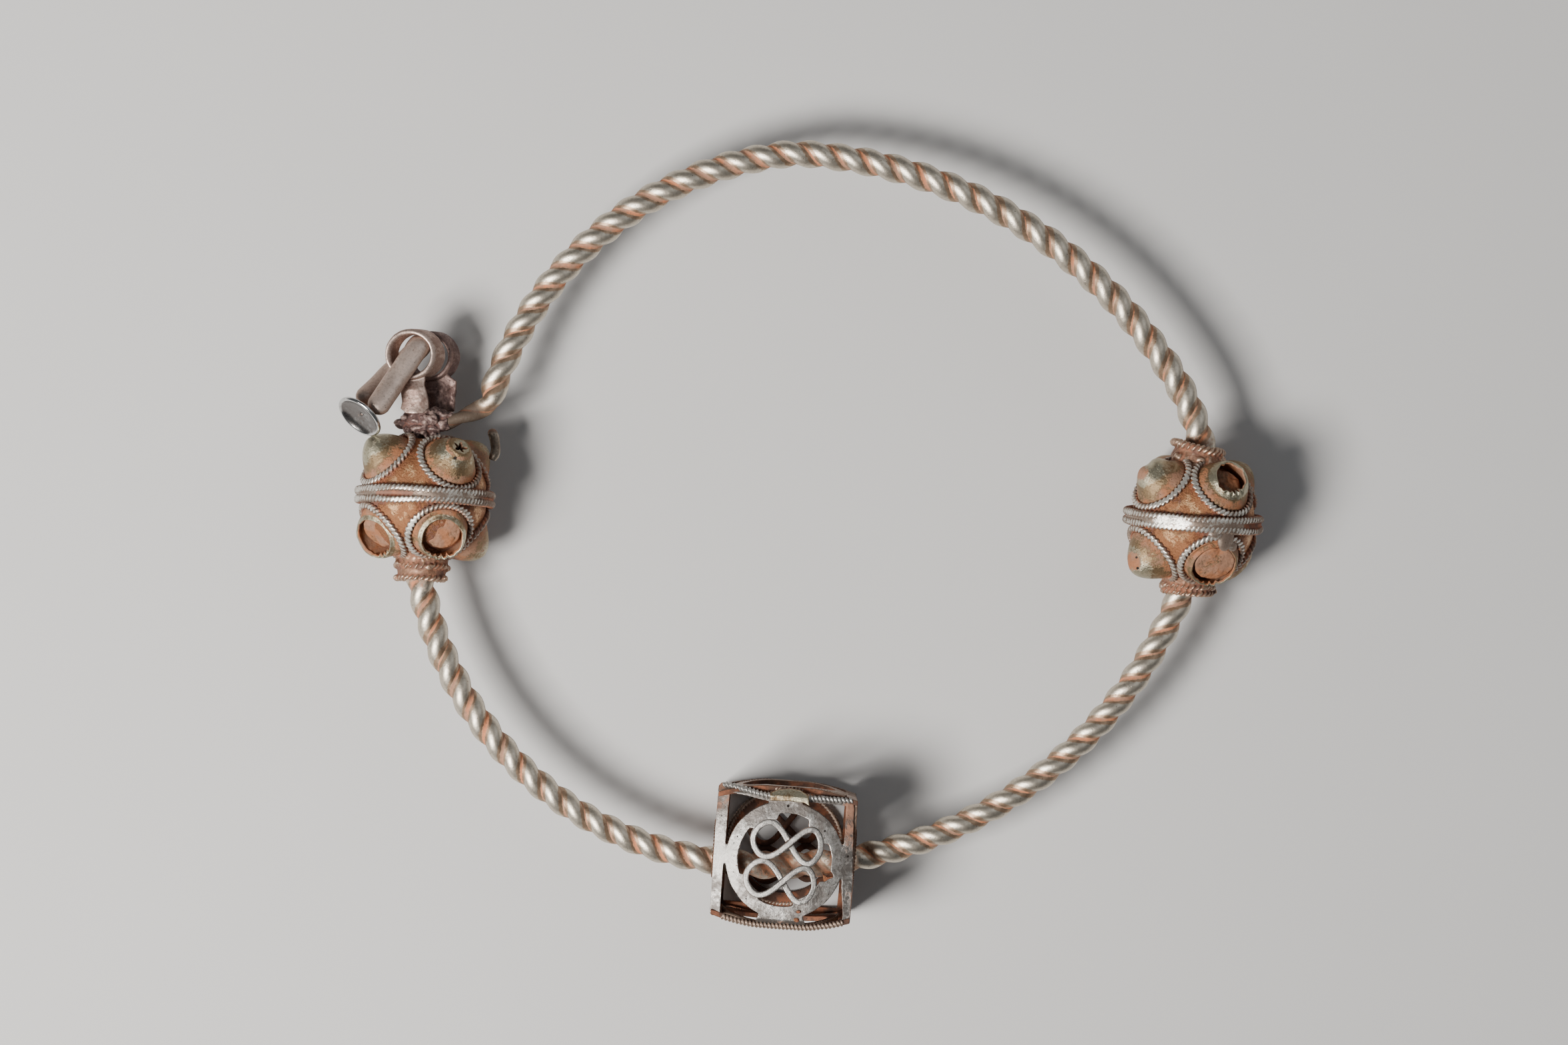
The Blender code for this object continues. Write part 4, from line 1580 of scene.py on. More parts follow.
    def press(self, skin: Skin, dents: Sequence[Dent], place: Matrix) -> None:
        """Dents and stains a boss where it shows from above, and paints pinholes black as painted shade.

        Args:
            skin: The boss's points, in their final place.
            dents: Where, how wide and how deep.
            place: The boss's place, whose Z is the way in.
        """
        middle = centre_of(f"{self.side}_bead_band")
        out = np.array(place.to_3x3() @ Vector((0.0, 0.0, 1.0)))
        for dent in dents:
            across = skin.points[:, 0] - middle.x - dent.across * MM
            away = np.hypot(across, skin.points[:, 1] - middle.y - dent.up * MM)
            shown = ease(0.0, 2.0 * MM, skin.points[:, 2] - middle.z)
            depth = dent.depth * MM * bump(away, 0.0, dent.width * MM) * shown
            skin.points -= out * depth[:, None]
            # A pinhole is painted black, as painted shade inside it.
            if dent.width < PINHOLE:
                skin.mark("soot", bump(away, 0.0, 0.9 * dent.width * MM) * shown)
            if dent.dirt:
                skin.mark("hollow", dent.dirt * bump(away, 0.0, dent.width * MM) * shown)
        skin.write()

    def trim(self, name: str, place: Matrix) -> None:
        """Makes the twisted wire round a boss.

        Args:
            name: The boss's name.
            place: The boss's place.
        """
        ring = RopeRing(self.trim_ring, self.trim_wire, self.trim_lay, self.strand, steps_per_lay=7)
        wire = ring.build()
        move(wire, place @ Matrix.Translation((0.0, 0.0, self.trim_seat)))
        skin = Skin(wire)
        skin.roughen(0.8 * MM, 0.04 * MM)
        self.sand(skin, math.hypot(self.trim_ring, self.trim_seat) + self.trim_wire)
        settle(wire, f"worn_{name}_wire", TRIM, f"{name}_wire")

    def strip(self) -> bpy.types.Object:
        """Makes the solder under the band's wires, sunk where they spread or still show their twist.

        Returns:
            The new object.
        """
        deselect()
        bpy.ops.mesh.primitive_torus_add(
            major_segments=360, minor_segments=24,
            major_radius=self.band_ring - 0.05 * MM, minor_radius=0.34 * MM,
        )
        strip = bpy.context.active_object
        skin = Skin(strip)
        azimuth = skin.azimuth()
        reach = skin.beside()
        skin.points[:, 2] *= 1.6
        ropey = ease(self.ropey_from, self.ropey_from + 0.25, azimuth) + ease(0.75, 1.0, -azimuth)
        middle = 1.0 - ease(0.12 * MM, 0.34 * MM, np.abs(skin.points[:, 2]))
        gap = bump(azimuth, self.gap_place, 0.9 * self.gap_width) * middle
        level = np.minimum(reach, self.band_ring + 0.29 * MM) - MM * np.maximum(0.50 * gap, 0.12 * ropey)
        skin.points[:, :2] *= (level / reach)[:, None]
        skin.write()
        return strip

    def band(self) -> None:
        """Makes the two wires round the equator, rubbed into one strip except where they spread apart."""
        solder = [self.strip()]
        for azimuth, latitude, wide, tall in self.patches:
            seat = Matrix.Translation((0.0, 0.0, self.radius + self.patch_rise))
            place = facing(Vector(pointing(azimuth, latitude))) @ seat
            patch = lump((0.0, 0.0, 0.0), (wide * MM, tall * MM, self.patch_depth), 0.12)
            move(patch, place)
            solder.append(patch)
        parts = [fuse(solder, 0.08 * MM, 2)]
        for sign in (1.0, -1.0):
            wire = RopeRing(self.band_ring, self.band_wire, self.band_lay, self.strand, sides=16).build()
            skin = Skin(wire)
            azimuth = skin.azimuth()
            spread = bump(azimuth, self.gap_place, self.gap_width)
            skin.points[:, 2] *= 1.0 - 0.15 * spread
            skin.points[:, 2] += sign * (self.band_apart + self.band_spread * spread)
            skin.write()
            parts.append(wire)
        choose(*parts)
        bpy.ops.object.join()
        band = bpy.context.active_object
        skin = Skin(band)
        flush = np.zeros(len(skin.points))
        for azimuth, latitude, wide, tall in self.patches:
            away = skin.away(self.band_ring * np.array(pointing(azimuth, latitude)))
            size = max(wide, tall)
            flush = np.maximum(flush, 1.0 - ease(0.75 * size * MM, 1.15 * size * MM, away))
        move(band, self.place())
        skin = Skin(band)
        skin.roughen(1.5 * MM, 0.04 * MM)
        self.sand(skin, self.band_ring + self.band_wire, flush)
        settle(band, f"worn_{self.side}_bead_band", TRIM, f"{self.side}_bead_band")

    def collar(self, collar: Collar) -> None:
        """Makes the lumpy collar at one end of the bore, with the dirt that fills its foot.

        Args:
            collar: Its sizes.
        """
        parts = []
        for radius, wire, height in collar.rings:
            rope = RopeRing(radius * MM, wire * MM, self.collar_lay, self.collar_strand, steps_per_lay=8)
            ring = rope.build()
            move(ring, Matrix.Translation((0.0, 0.0, height * MM)) @ Matrix.Rotation(collar.slope, 4, "Y"))
            parts.append(ring)
        top = collar.rings[-1][2] * MM
        foot = math.sqrt(self.radius**2 - collar.foot**2)
        parts.append(turned([
            (self.bore - 0.1 * MM, 0.9 * foot), (collar.foot, foot - 0.12 * MM),
            (0.9 * collar.foot, foot + 0.32 * MM), (0.76 * collar.foot, foot + 0.70 * MM),
            (self.bore + 0.12 * MM, top - 0.1 * MM), (self.bore - 0.1 * MM, top - 0.1 * MM),
        ], 96))
        for degrees, height, size in collar.knobs:
            turn = math.radians(degrees)
            across, along = self.knob_ring * math.sin(turn), -self.knob_ring * collar.end * math.cos(turn)
            place = (across, along, height * MM)
            parts.append(lump(place, (size * MM, size * MM, 0.8 * size * MM)))
        piece = fuse(parts, 0.065 * MM, 1)
        skin = Skin(piece)
        reach = skin.beside()
        loose = ease(self.bore + 0.1 * MM, self.bore + 0.4 * MM, reach)
        lumps = 0.15 * MM * skin.noise(0.8 * MM, 3) + 0.06 * MM * skin.noise(0.3 * MM, 2)
        skin.push(loose * lumps)
        bent = skin.hollows(5)
        skin.weather(0.44 + 0.6 * bent + 0.25 * skin.noise(1.4 * MM, 2), 0.25 - 1.1 * bent)
        if collar.end < 0:
            move(piece, Matrix.Rotation(math.pi, 4, "X"))
        move(piece, self.place())
        label = "upper" if collar.end > 0 else "lower"
        node = f"{self.side}_bead_{label}_collar"
        settle(piece, f"worn_{node}", NECK, node)

    def build(self) -> None:
        """Makes the whole bead."""
        self.shell()
        for row in Row:
            for index in range(4):
                self.boss(row, index)
        self.band()
        for collar in self.collars:
            self.collar(collar)


# ------------------------------------------------------------------ openwork bead


@dataclass(frozen=True)
class Web:
    """A place where a ring is soldered to a scroll: its angle and half its spread, in degrees."""

    angle: float
    spread: float
    reach: float = 0.46


@dataclass
class OpenworkBead:
    """Four bowed openwork panels and two end plates round the hoop, with soldered scrolls."""

    turn: float = math.radians(-4.0)
    sheet: float = 0.45 * MM
    length: float = 11.6 * MM
    mid_half: float = 5.95 * MM
    end_half: float = 5.15 * MM
    flat_half: float = 1.7 * MM
    bow: float = 1.6
    ring_inner: float = 3.88 * MM
    ring_outer: float = 4.92 * MM
    ring_centre: tuple[float, float] = (0.05 * MM, -0.16 * MM)
    bar: float = 0.92 * MM
    edge: float = 0.42 * MM
    hole: float = 2.1 * MM
    rope: float = 0.29 * MM
    rope_lay: float = 0.32 * MM
    rope_taper: tuple[Point, ...] = ((0.0, 0.3), (0.01, 1.0), (0.99, 1.0), (1.0, 0.3))
    top_edge: float = 5.06 * MM
    inset: float = 0.05 * MM
    crown: float = 11.0
    scroll_reach: float = 2.85 * MM
    scroll_half: float = 1.62 * MM
    scroll_swell: tuple[float, float] = (1.38 * MM, -0.20 * MM)
    scroll_skew: float = 0.22 * MM
    scroll_strand: float = 0.26 * MM
    scroll_cross: float = 0.14 * MM
    scroll_turn: float = math.radians(-6.5)
    webs: tuple[Web, ...] = (Web(120.0, 16.0), Web(43.0, 15.0), Web(-50.0, 22.0), Web(-140.0, 15.0))
    scroll_shift: tuple[float, float] = (-0.03 * MM, -0.33 * MM)
    # Small holes rusted through the front, painted black as the shade inside them, as (x, y, radius) in
    # millimetres.
    pits: tuple[Point, ...] = (
        (0.05, 4.33, 0.13), (3.22, 2.47, 0.11), (5.28, 0.47, 0.11), (-3.98, 1.51, 0.07), (-4.23, 0.93, 0.06),
        (-2.9, -3.6, 0.07), (4.3, -1.9, 0.06), (-5.4, 3.1, 0.06),
    )

    def place(self, quarter: int = 0) -> Matrix:
        """Place of the panel that stands so many quarter turns on from the front."""
        turn = Matrix.Rotation(self.turn, 4, "Z") @ Matrix.Rotation(quarter * math.pi / 2.0, 4, "X")
        return Matrix.Translation(cage_centre()) @ turn

    def half(self, x: Array) -> Array:
        """Half the bead's thickness at x along the hoop."""
        share = np.clip((np.abs(x) - self.flat_half) / (self.length / 2.0 - self.flat_half), 0.0, 1.0)
        return self.mid_half - (self.mid_half - self.end_half) * share**self.bow

    def ring(self, webs: Sequence[Web], torn: bool) -> bpy.types.Object:
        """The flat ring of a panel, with its top at z = 0.

        Args:
            webs: Where scrolls are soldered on.
            torn: Whether its inner edge is broken at the lower right.

        Returns:
            The new object.
        """
        inner, outer = self.ring_inner, self.ring_outer
        ring = turned([(inner, -self.sheet), (outer, -self.sheet), (outer, 0.0), (inner, 0.0)], 240)
        skin = Skin(ring)
        angle = np.degrees(skin.turn())
        reach = skin.beside()
        inside = reach < 0.5 * (inner + outer)
        change = 0.05 * MM * skin.noise(1.5 * MM, 2)
        for web in webs:
            away = np.abs((angle - web.angle + 180.0) % 360.0 - 180.0)
            change -= inside * web.reach * MM * (1.0 - ease(web.spread, web.spread + 5.0, away))
        if torn:
            change += inside * 0.42 * MM * bump(angle, -15.0, 4.0)
        skin.points[:, :2] *= (1.0 + change / reach)[:, None]
        skin.points[:, :2] += self.ring_centre
        skin.write()
        return ring

    def bend(self, skin: Skin, crown: float = 0.0) -> None:
        """Bows a flat panel out over its length and turns its long edges down at the corners.

        Args:
            skin: The panel, with its top at z = 0.
            crown: How strongly it also curves across.
        """
        x, y = skin.points[:, 0], np.abs(skin.points[:, 1])
        skin.points[:, 2] += self.half(x) - self.inset - crown * y**2 - np.maximum(y - self.end_half, 0.0)
        skin.write()

    def rope_along(self, start: float, end: float, line: Callable[[Array], Array]) -> bpy.types.Object:
        """A fine twisted wire along a line.

        Args:
            start: X of its first end.
            end: X of its last end.
            line: Gives the points of the line for an array of x.

        Returns:
            The new object.
        """
        lays = round((end - start) / self.rope_lay)
        angles = TURN * np.arange(10) / 10
        size = self.rope * lobed(angles, 0.6)
        section = [(r * math.cos(a), r * math.sin(a)) for r, a in zip(size, angles)]
        bar = drawn(section, lays * 6, lays)
        sweep(bar, line(np.linspace(start, end, 60)), (0.0, 1.0, 0.0), self.rope_taper)
        return bar

    def finish_panel(self, parts: Sequence[bpy.types.Object], ropes: Sequence[bpy.types.Object], quarter: int,
                     name: str, finish: Patina, voxel: float = 0.08 * MM) -> None:
        """Fuses a panel's parts, bows it, ages it, paints shade on its sides and a highlight on the front,
        and puts it in place.

        Args:
            parts: Flat solids with their tops at z = 0.
            ropes: Wires already in their bowed place.
            quarter: Quarter turns on from the front.
            name: Name of its CAD node.
            finish: Its finish.
            voxel: Fineness of its mesh.
        """
        panel = fuse(parts, voxel, 3)
        skin = Skin(panel)
        self.bend(skin, 0.0 if quarter else self.crown)
        skin.roughen(1.6 * MM, 0.035 * MM if quarter else 0.06 * MM)
        normals = skin.normals()
        # Painted shade: faces turned sideways and faces turned down into the bead are painted darker.
        side = 1.0 - ease(0.45, 0.85, normals[:, 2])
        shade_within = ease(0.1, -0.4, normals[:, 2])
        hollow = 0.10 + 0.5 * side + 0.35 * shade_within + 0.5 * np.maximum(skin.hollows(4), 0.0)
        across, up = skin.points[:, 0] / MM, skin.points[:, 1] / MM
        corner, rubbed = 0.0, 0.3
        if quarter == 0:
            corner = ease(-0.5, 4.0, up) * ease(3.0, 5.0, np.abs(across)) + 0.6 * ease(4.2, 5.4, across)
            # Painted highlight: the front is painted brighter round its left middle.
            rubbed = bump(skin.beside(-4.5 * MM), 0.0, 2.6 * MM)
        skin.weather(
            hollow=hollow + 0.5 * corner + 0.2 * skin.noise(1.6 * MM, 3),
            worn=0.42 + 0.5 * rubbed - 0.5 * side - 0.4 * shade_within + 0.4 * skin.noise(1.5 * MM, 3),
        )
        # The pits are painted black, as painted shade.
        for x, y, size in self.pits if quarter == 0 else ():
            skin.mark("soot", bump(skin.beside(x * MM, y * MM), 0.0, size * MM))
        for rope in ropes:
            wire = Skin(rope)
            wire.roughen(0.5 * MM, 0.03 * MM)
            wire.weather(
                hollow=0.26 + 0.6 * wire.hollows(2) + 0.2 * wire.noise(1.0 * MM, 2),
                worn=0.75 - 0.5 * wire.hollows(2),
            )
        choose(panel, *ropes)
        if ropes:
            bpy.ops.object.join()
        move(panel, self.place(quarter))
        settle(panel, f"worn_{name}", finish, name)

    def front(self) -> None:
        """Makes the front panel: worn flat, with its lower left corner broken away."""
        bars = (
            (
                (-5.85, 5.55), (-5.85, -5.05), (-5.62, -5.28), (-5.35, -5.12), (-5.0, -5.3), (-4.96, -2.0),
                (-4.85, 5.6),
            ),
            (
                (-5.8, 5.6), (-4.9, 5.1), (-3.2, 4.86), (-1.6, 4.6), (1.9, 4.7), (4.9, 4.66), (5.5, 4.6),
                (5.48, 5.06), (3.2, 5.14), (-1.6, 5.14), (-3.2, 5.4), (-4.8, 5.75), (-5.6, 5.8),
            ),
            (
                (4.88, 5.05), (4.86, 1.0), (4.92, -2.1), (5.1, -3.6), (5.2, -5.1), (5.82, -5.1), (5.84, -2.0),
                (5.5, 5.05),
            ),
            ((-1.75, -4.6), (1.8, -4.6), (2.3, -5.75), (1.2, -5.95), (-1.2, -5.95), (-2.1, -5.75)),
            ((5.3, -4.7), (5.82, -4.7), (5.8, -5.15), (4.5, -5.42), (4.45, -5.2)),
        )
        parts = [self.ring(self.webs, True)]
        for corners in bars:
            parts.append(prism(metres(corners), -self.sheet, 0.0))
        residue = (
            (3.0, -2.75), (3.15, -1.95), (3.45, -1.75), (3.3, -1.15), (3.75, -1.35), (4.4, -1.2), (4.5, -2.2),
        )
        lumps = [prism(metres(residue), -1.5 * self.sheet, -0.12 * MM)]
        for x, y, size in ((1.5, -4.36, 0.20), (1.38, -5.05, 0.22), (-3.9, -0.9, 0.10)):
            lumps.append(lump((x * MM, y * MM, 0.0), (size * MM, 0.8 * size * MM, 0.5 * size * MM)))
        self.residue(lumps)
        top = self.rope_along(-5.5 * MM, 5.4 * MM, self.top_line)
        self.finish_panel(parts, [top], 0, "openwork_front_panel", CAGE, 0.065 * MM)

    def top_line(self, x: Array) -> Array:
        """The front panel's upper edge.

        Args:
            x: Places along the hoop.

        Returns:
            The edge's points, one to a row.
        """
        rise = 0.62 * MM * ease(1.2 * MM, 5.4 * MM, -x)
        level = self.half(x) - self.crown * self.top_edge**2 - 0.04 * MM - 0.5 * rise
        return np.column_stack([x, self.top_edge + rise, level])

    def corner_line(self, x: Array) -> Array:
        """The edge where the outer panel meets the front, in the outer panel's frame."""
        return np.column_stack([x, 0.0 * x + self.end_half, self.half(x) - 0.24 * MM])

    def residue(self, lumps: list[bpy.types.Object]) -> None:
        """Makes the copper-coloured crumbs of solder on the front panel.

        Args:
            lumps: The crumbs, on the flat panel.
        """
        crumbs = fuse(lumps, 0.05 * MM, 2)
        skin = Skin(crumbs)
        skin.points[:, 2] += self.half(skin.points[:, 0]) - self.crown * skin.points[:, 1] ** 2
        skin.write()
        skin.roughen(0.5 * MM, 0.07 * MM)
        skin.weather(0.55 + 0.4 * skin.noise(0.6 * MM, 2), 0.3)
        move(crumbs, self.place())
        settle(crumbs, "worn_openwork_crumbs", SHEET)

    def side(self, name: str, quarter: int, corners: tuple[bool, bool]) -> None:
        """Makes one of the other panels, whole.

        Args:
            name: Name of its CAD node.
            quarter: Quarter turns on from the front.
            corners: Whether its edges at -Y and at +Y turn over the corner.
        """
        end = self.length / 2.0
        parts = [self.ring((), False)]
        for x in (-1.0, 1.0):
            bar = sorted((x * end, x * (end - self.bar)))
            parts.append(prism([(bar[0], -self.end_half), (bar[1], -self.end_half), (bar[1], self.end_half),
                                (bar[0], self.end_half)], -self.sheet, 0.0))
        xs = np.linspace(-end, end, 24)
        for sign, turned_over in zip((-1.0, 1.0), corners):
            reach = self.half(xs) if turned_over else np.full(24, self.end_half)
            outer = [(x, sign * y) for x, y in zip(xs, reach)]
            inner = [(x, sign * (self.end_half - self.edge)) for x in xs[::-1]]
            parts.append(prism(outer + inner, -self.sheet, 0.0))
        ropes = [RopeRing(self.ring_outer - 0.05 * MM, self.rope, lay=0.3 * MM, sides=10).build()]
        skin = Skin(ropes[0])
        skin.points[:, :2] += self.ring_centre
        skin.points[:, 2] += self.half(skin.points[:, 0]) - 0.30 * MM
        skin.write()
        if quarter == 1:
            ropes.append(self.rope_along(-4.9 * MM, 5.3 * MM, self.corner_line))
        self.finish_panel(parts, ropes, quarter, name, CAGE_SHADED_TARNISH)

    def scroll(self, name: str, quarter: int, row: float, finish: Patina) -> None:
        """Makes one figure of eight of flattened wire, lying on its side in a panel's ring.

        Args:
            name: Name of its CAD node.
            quarter: Quarter turns on from the front.
            row: 1 for the upper one and -1 for the lower.
            finish: Its finish.
        """
        turns = TURN * np.arange(96) / 96
        wave = self.scroll_swell[0] * np.sin(2.0 * turns) + self.scroll_swell[1] * np.sin(4.0 * turns)
        path = np.column_stack([
            self.scroll_reach * np.cos(turns) + self.scroll_skew * np.sin(turns) ** 2,
            row * self.scroll_half + wave,
            self.scroll_cross * np.sin(turns) ** 5,
        ])
        wire = loop_of_wire([tuple(point) for point in path], self.scroll_strand)
        skin = Skin(wire)
        reach = np.linalg.norm(skin.points[:, None, :2] - path[None, :, :2], axis=2)
        middle = path[np.argmin(reach + np.abs(skin.points[:, 2:] - path[None, :, 2]), axis=1), 2]
        skin.points[:, 2] = middle + np.minimum(skin.points[:, 2] - middle, 0.15 * MM)
        skin.write()
        wire = fuse([wire], 0.05 * MM, 2)
        skin = Skin(wire)
        skin.roughen(0.9 * MM, 0.03 * MM)
        # Painted shade: the wire's sides are painted darker than its top.
        side = 1.0 - ease(0.4, 0.85, skin.normals()[:, 2])
        skin.weather(
            hollow=0.12 + 0.5 * side + 0.4 * np.maximum(skin.hollows(4), 0.0),
            worn=0.9 - 0.6 * side + 0.2 * skin.noise(1.2 * MM, 2),
        )
        skin.points[:, 2] += self.half(skin.points[:, 0]) - self.mid_half
        skin.write()
        height = self.mid_half - (0.36 * MM if quarter else 0.19 * MM)
        move(wire, self.place(quarter) @ Matrix.Translation((*self.scroll_shift, height))
             @ Matrix.Rotation(self.scroll_turn, 4, "Z"))
        settle(wire, f"worn_{name}", finish, name)

    def end(self, name: str, side: int) -> None:
        """Makes one end plate, with the hole that the hoop passes through.

        Args:
            name: Name of its CAD node.
            side: -1 for the left end and 1 for the right.
        """
        half = self.end_half - 0.35 * MM
        plate = prism([(-half, -half), (half, -half), (half, half), (-half, half)], -self.sheet, 0.0)
        deselect()
        bpy.ops.mesh.primitive_cylinder_add(vertices=48, radius=self.hole, depth=4.0 * self.sheet)
        cut(plate, bpy.context.active_object)
        ring = RopeRing(self.hole + 0.22 * MM, 0.2 * MM, lay=0.32 * MM, sides=10).build()
        plate = fuse([plate], 0.09 * MM, 3)
        skin = Skin(plate)
        skin.roughen(1.6 * MM, 0.06 * MM)
        skin.weather(
            hollow=0.4 + 0.4 * skin.hollows(4) + 0.25 * skin.noise(2.0 * MM, 3),
            worn=0.45 + 0.35 * skin.noise(1.7 * MM, 3),
        )
        choose(plate, ring)
        bpy.ops.object.join()
        turn = Matrix.Rotation(side * math.pi / 2.0, 4, "Y")
        move(plate, self.place() @ turn @ Matrix.Translation((0.0, 0.0, self.length / 2.0)))
        settle(plate, f"worn_{name}", CAGE_SHADED_TARNISH, name)

    def tab(self) -> None:
        """Makes the small plate bent over the front panel's upper edge."""
        corners = (
            (-1.5, 5.35), (-0.9, 5.62), (0.1, 5.8), (1.0, 5.65), (1.68, 5.3), (1.84, 4.45), (1.32, 4.68),
            (0.2, 4.76), (-0.7, 4.72), (-1.48, 4.7),
        )
        plate = fuse([prism(metres(corners), -0.45 * MM, 0.40 * MM)], 0.06 * MM, 8)
        skin = Skin(plate)
        y = skin.points[:, 1]
        skin.points[:, 2] += self.mid_half - 0.5 * self.crown * y**2 - 0.6 * np.maximum(y - 5.15 * MM, 0.0)
        skin.write()
        skin.roughen(0.8 * MM, 0.04 * MM)
        # Painted shade: the plate's sides are painted darker than its top.
        side = 1.0 - ease(0.3, 0.8, skin.normals()[:, 2])
        skin.weather(
            hollow=0.10 + 0.4 * side + 0.2 * skin.noise(0.9 * MM, 2),
            worn=0.65 - 0.5 * side + 0.35 * skin.noise(1.2 * MM, 2),
        )
        move(plate, self.place())
        settle(plate, "worn_openwork_tab", BOSS, "openwork_tab")

    def build(self) -> None:
        """Makes the whole bead."""
        self.front()
        self.side("openwork_outer_panel", 1, (True, False))
        self.side("openwork_back_panel", 2, (False, False))
        self.side("openwork_inner_panel", 3, (False, True))
        self.end("openwork_left_end", -1)
        self.end("openwork_right_end", 1)
        for label, quarter, finish in (("front", 0, CAGE), ("back", 2, CAGE_SHADED_TARNISH)):
            for row, half in ((1.0, "upper"), (-1.0, "lower")):
                self.scroll(f"openwork_{label}_{half}_scroll", quarter, row, finish)
        self.tab()


# ------------------------------------------------------------------ clasp


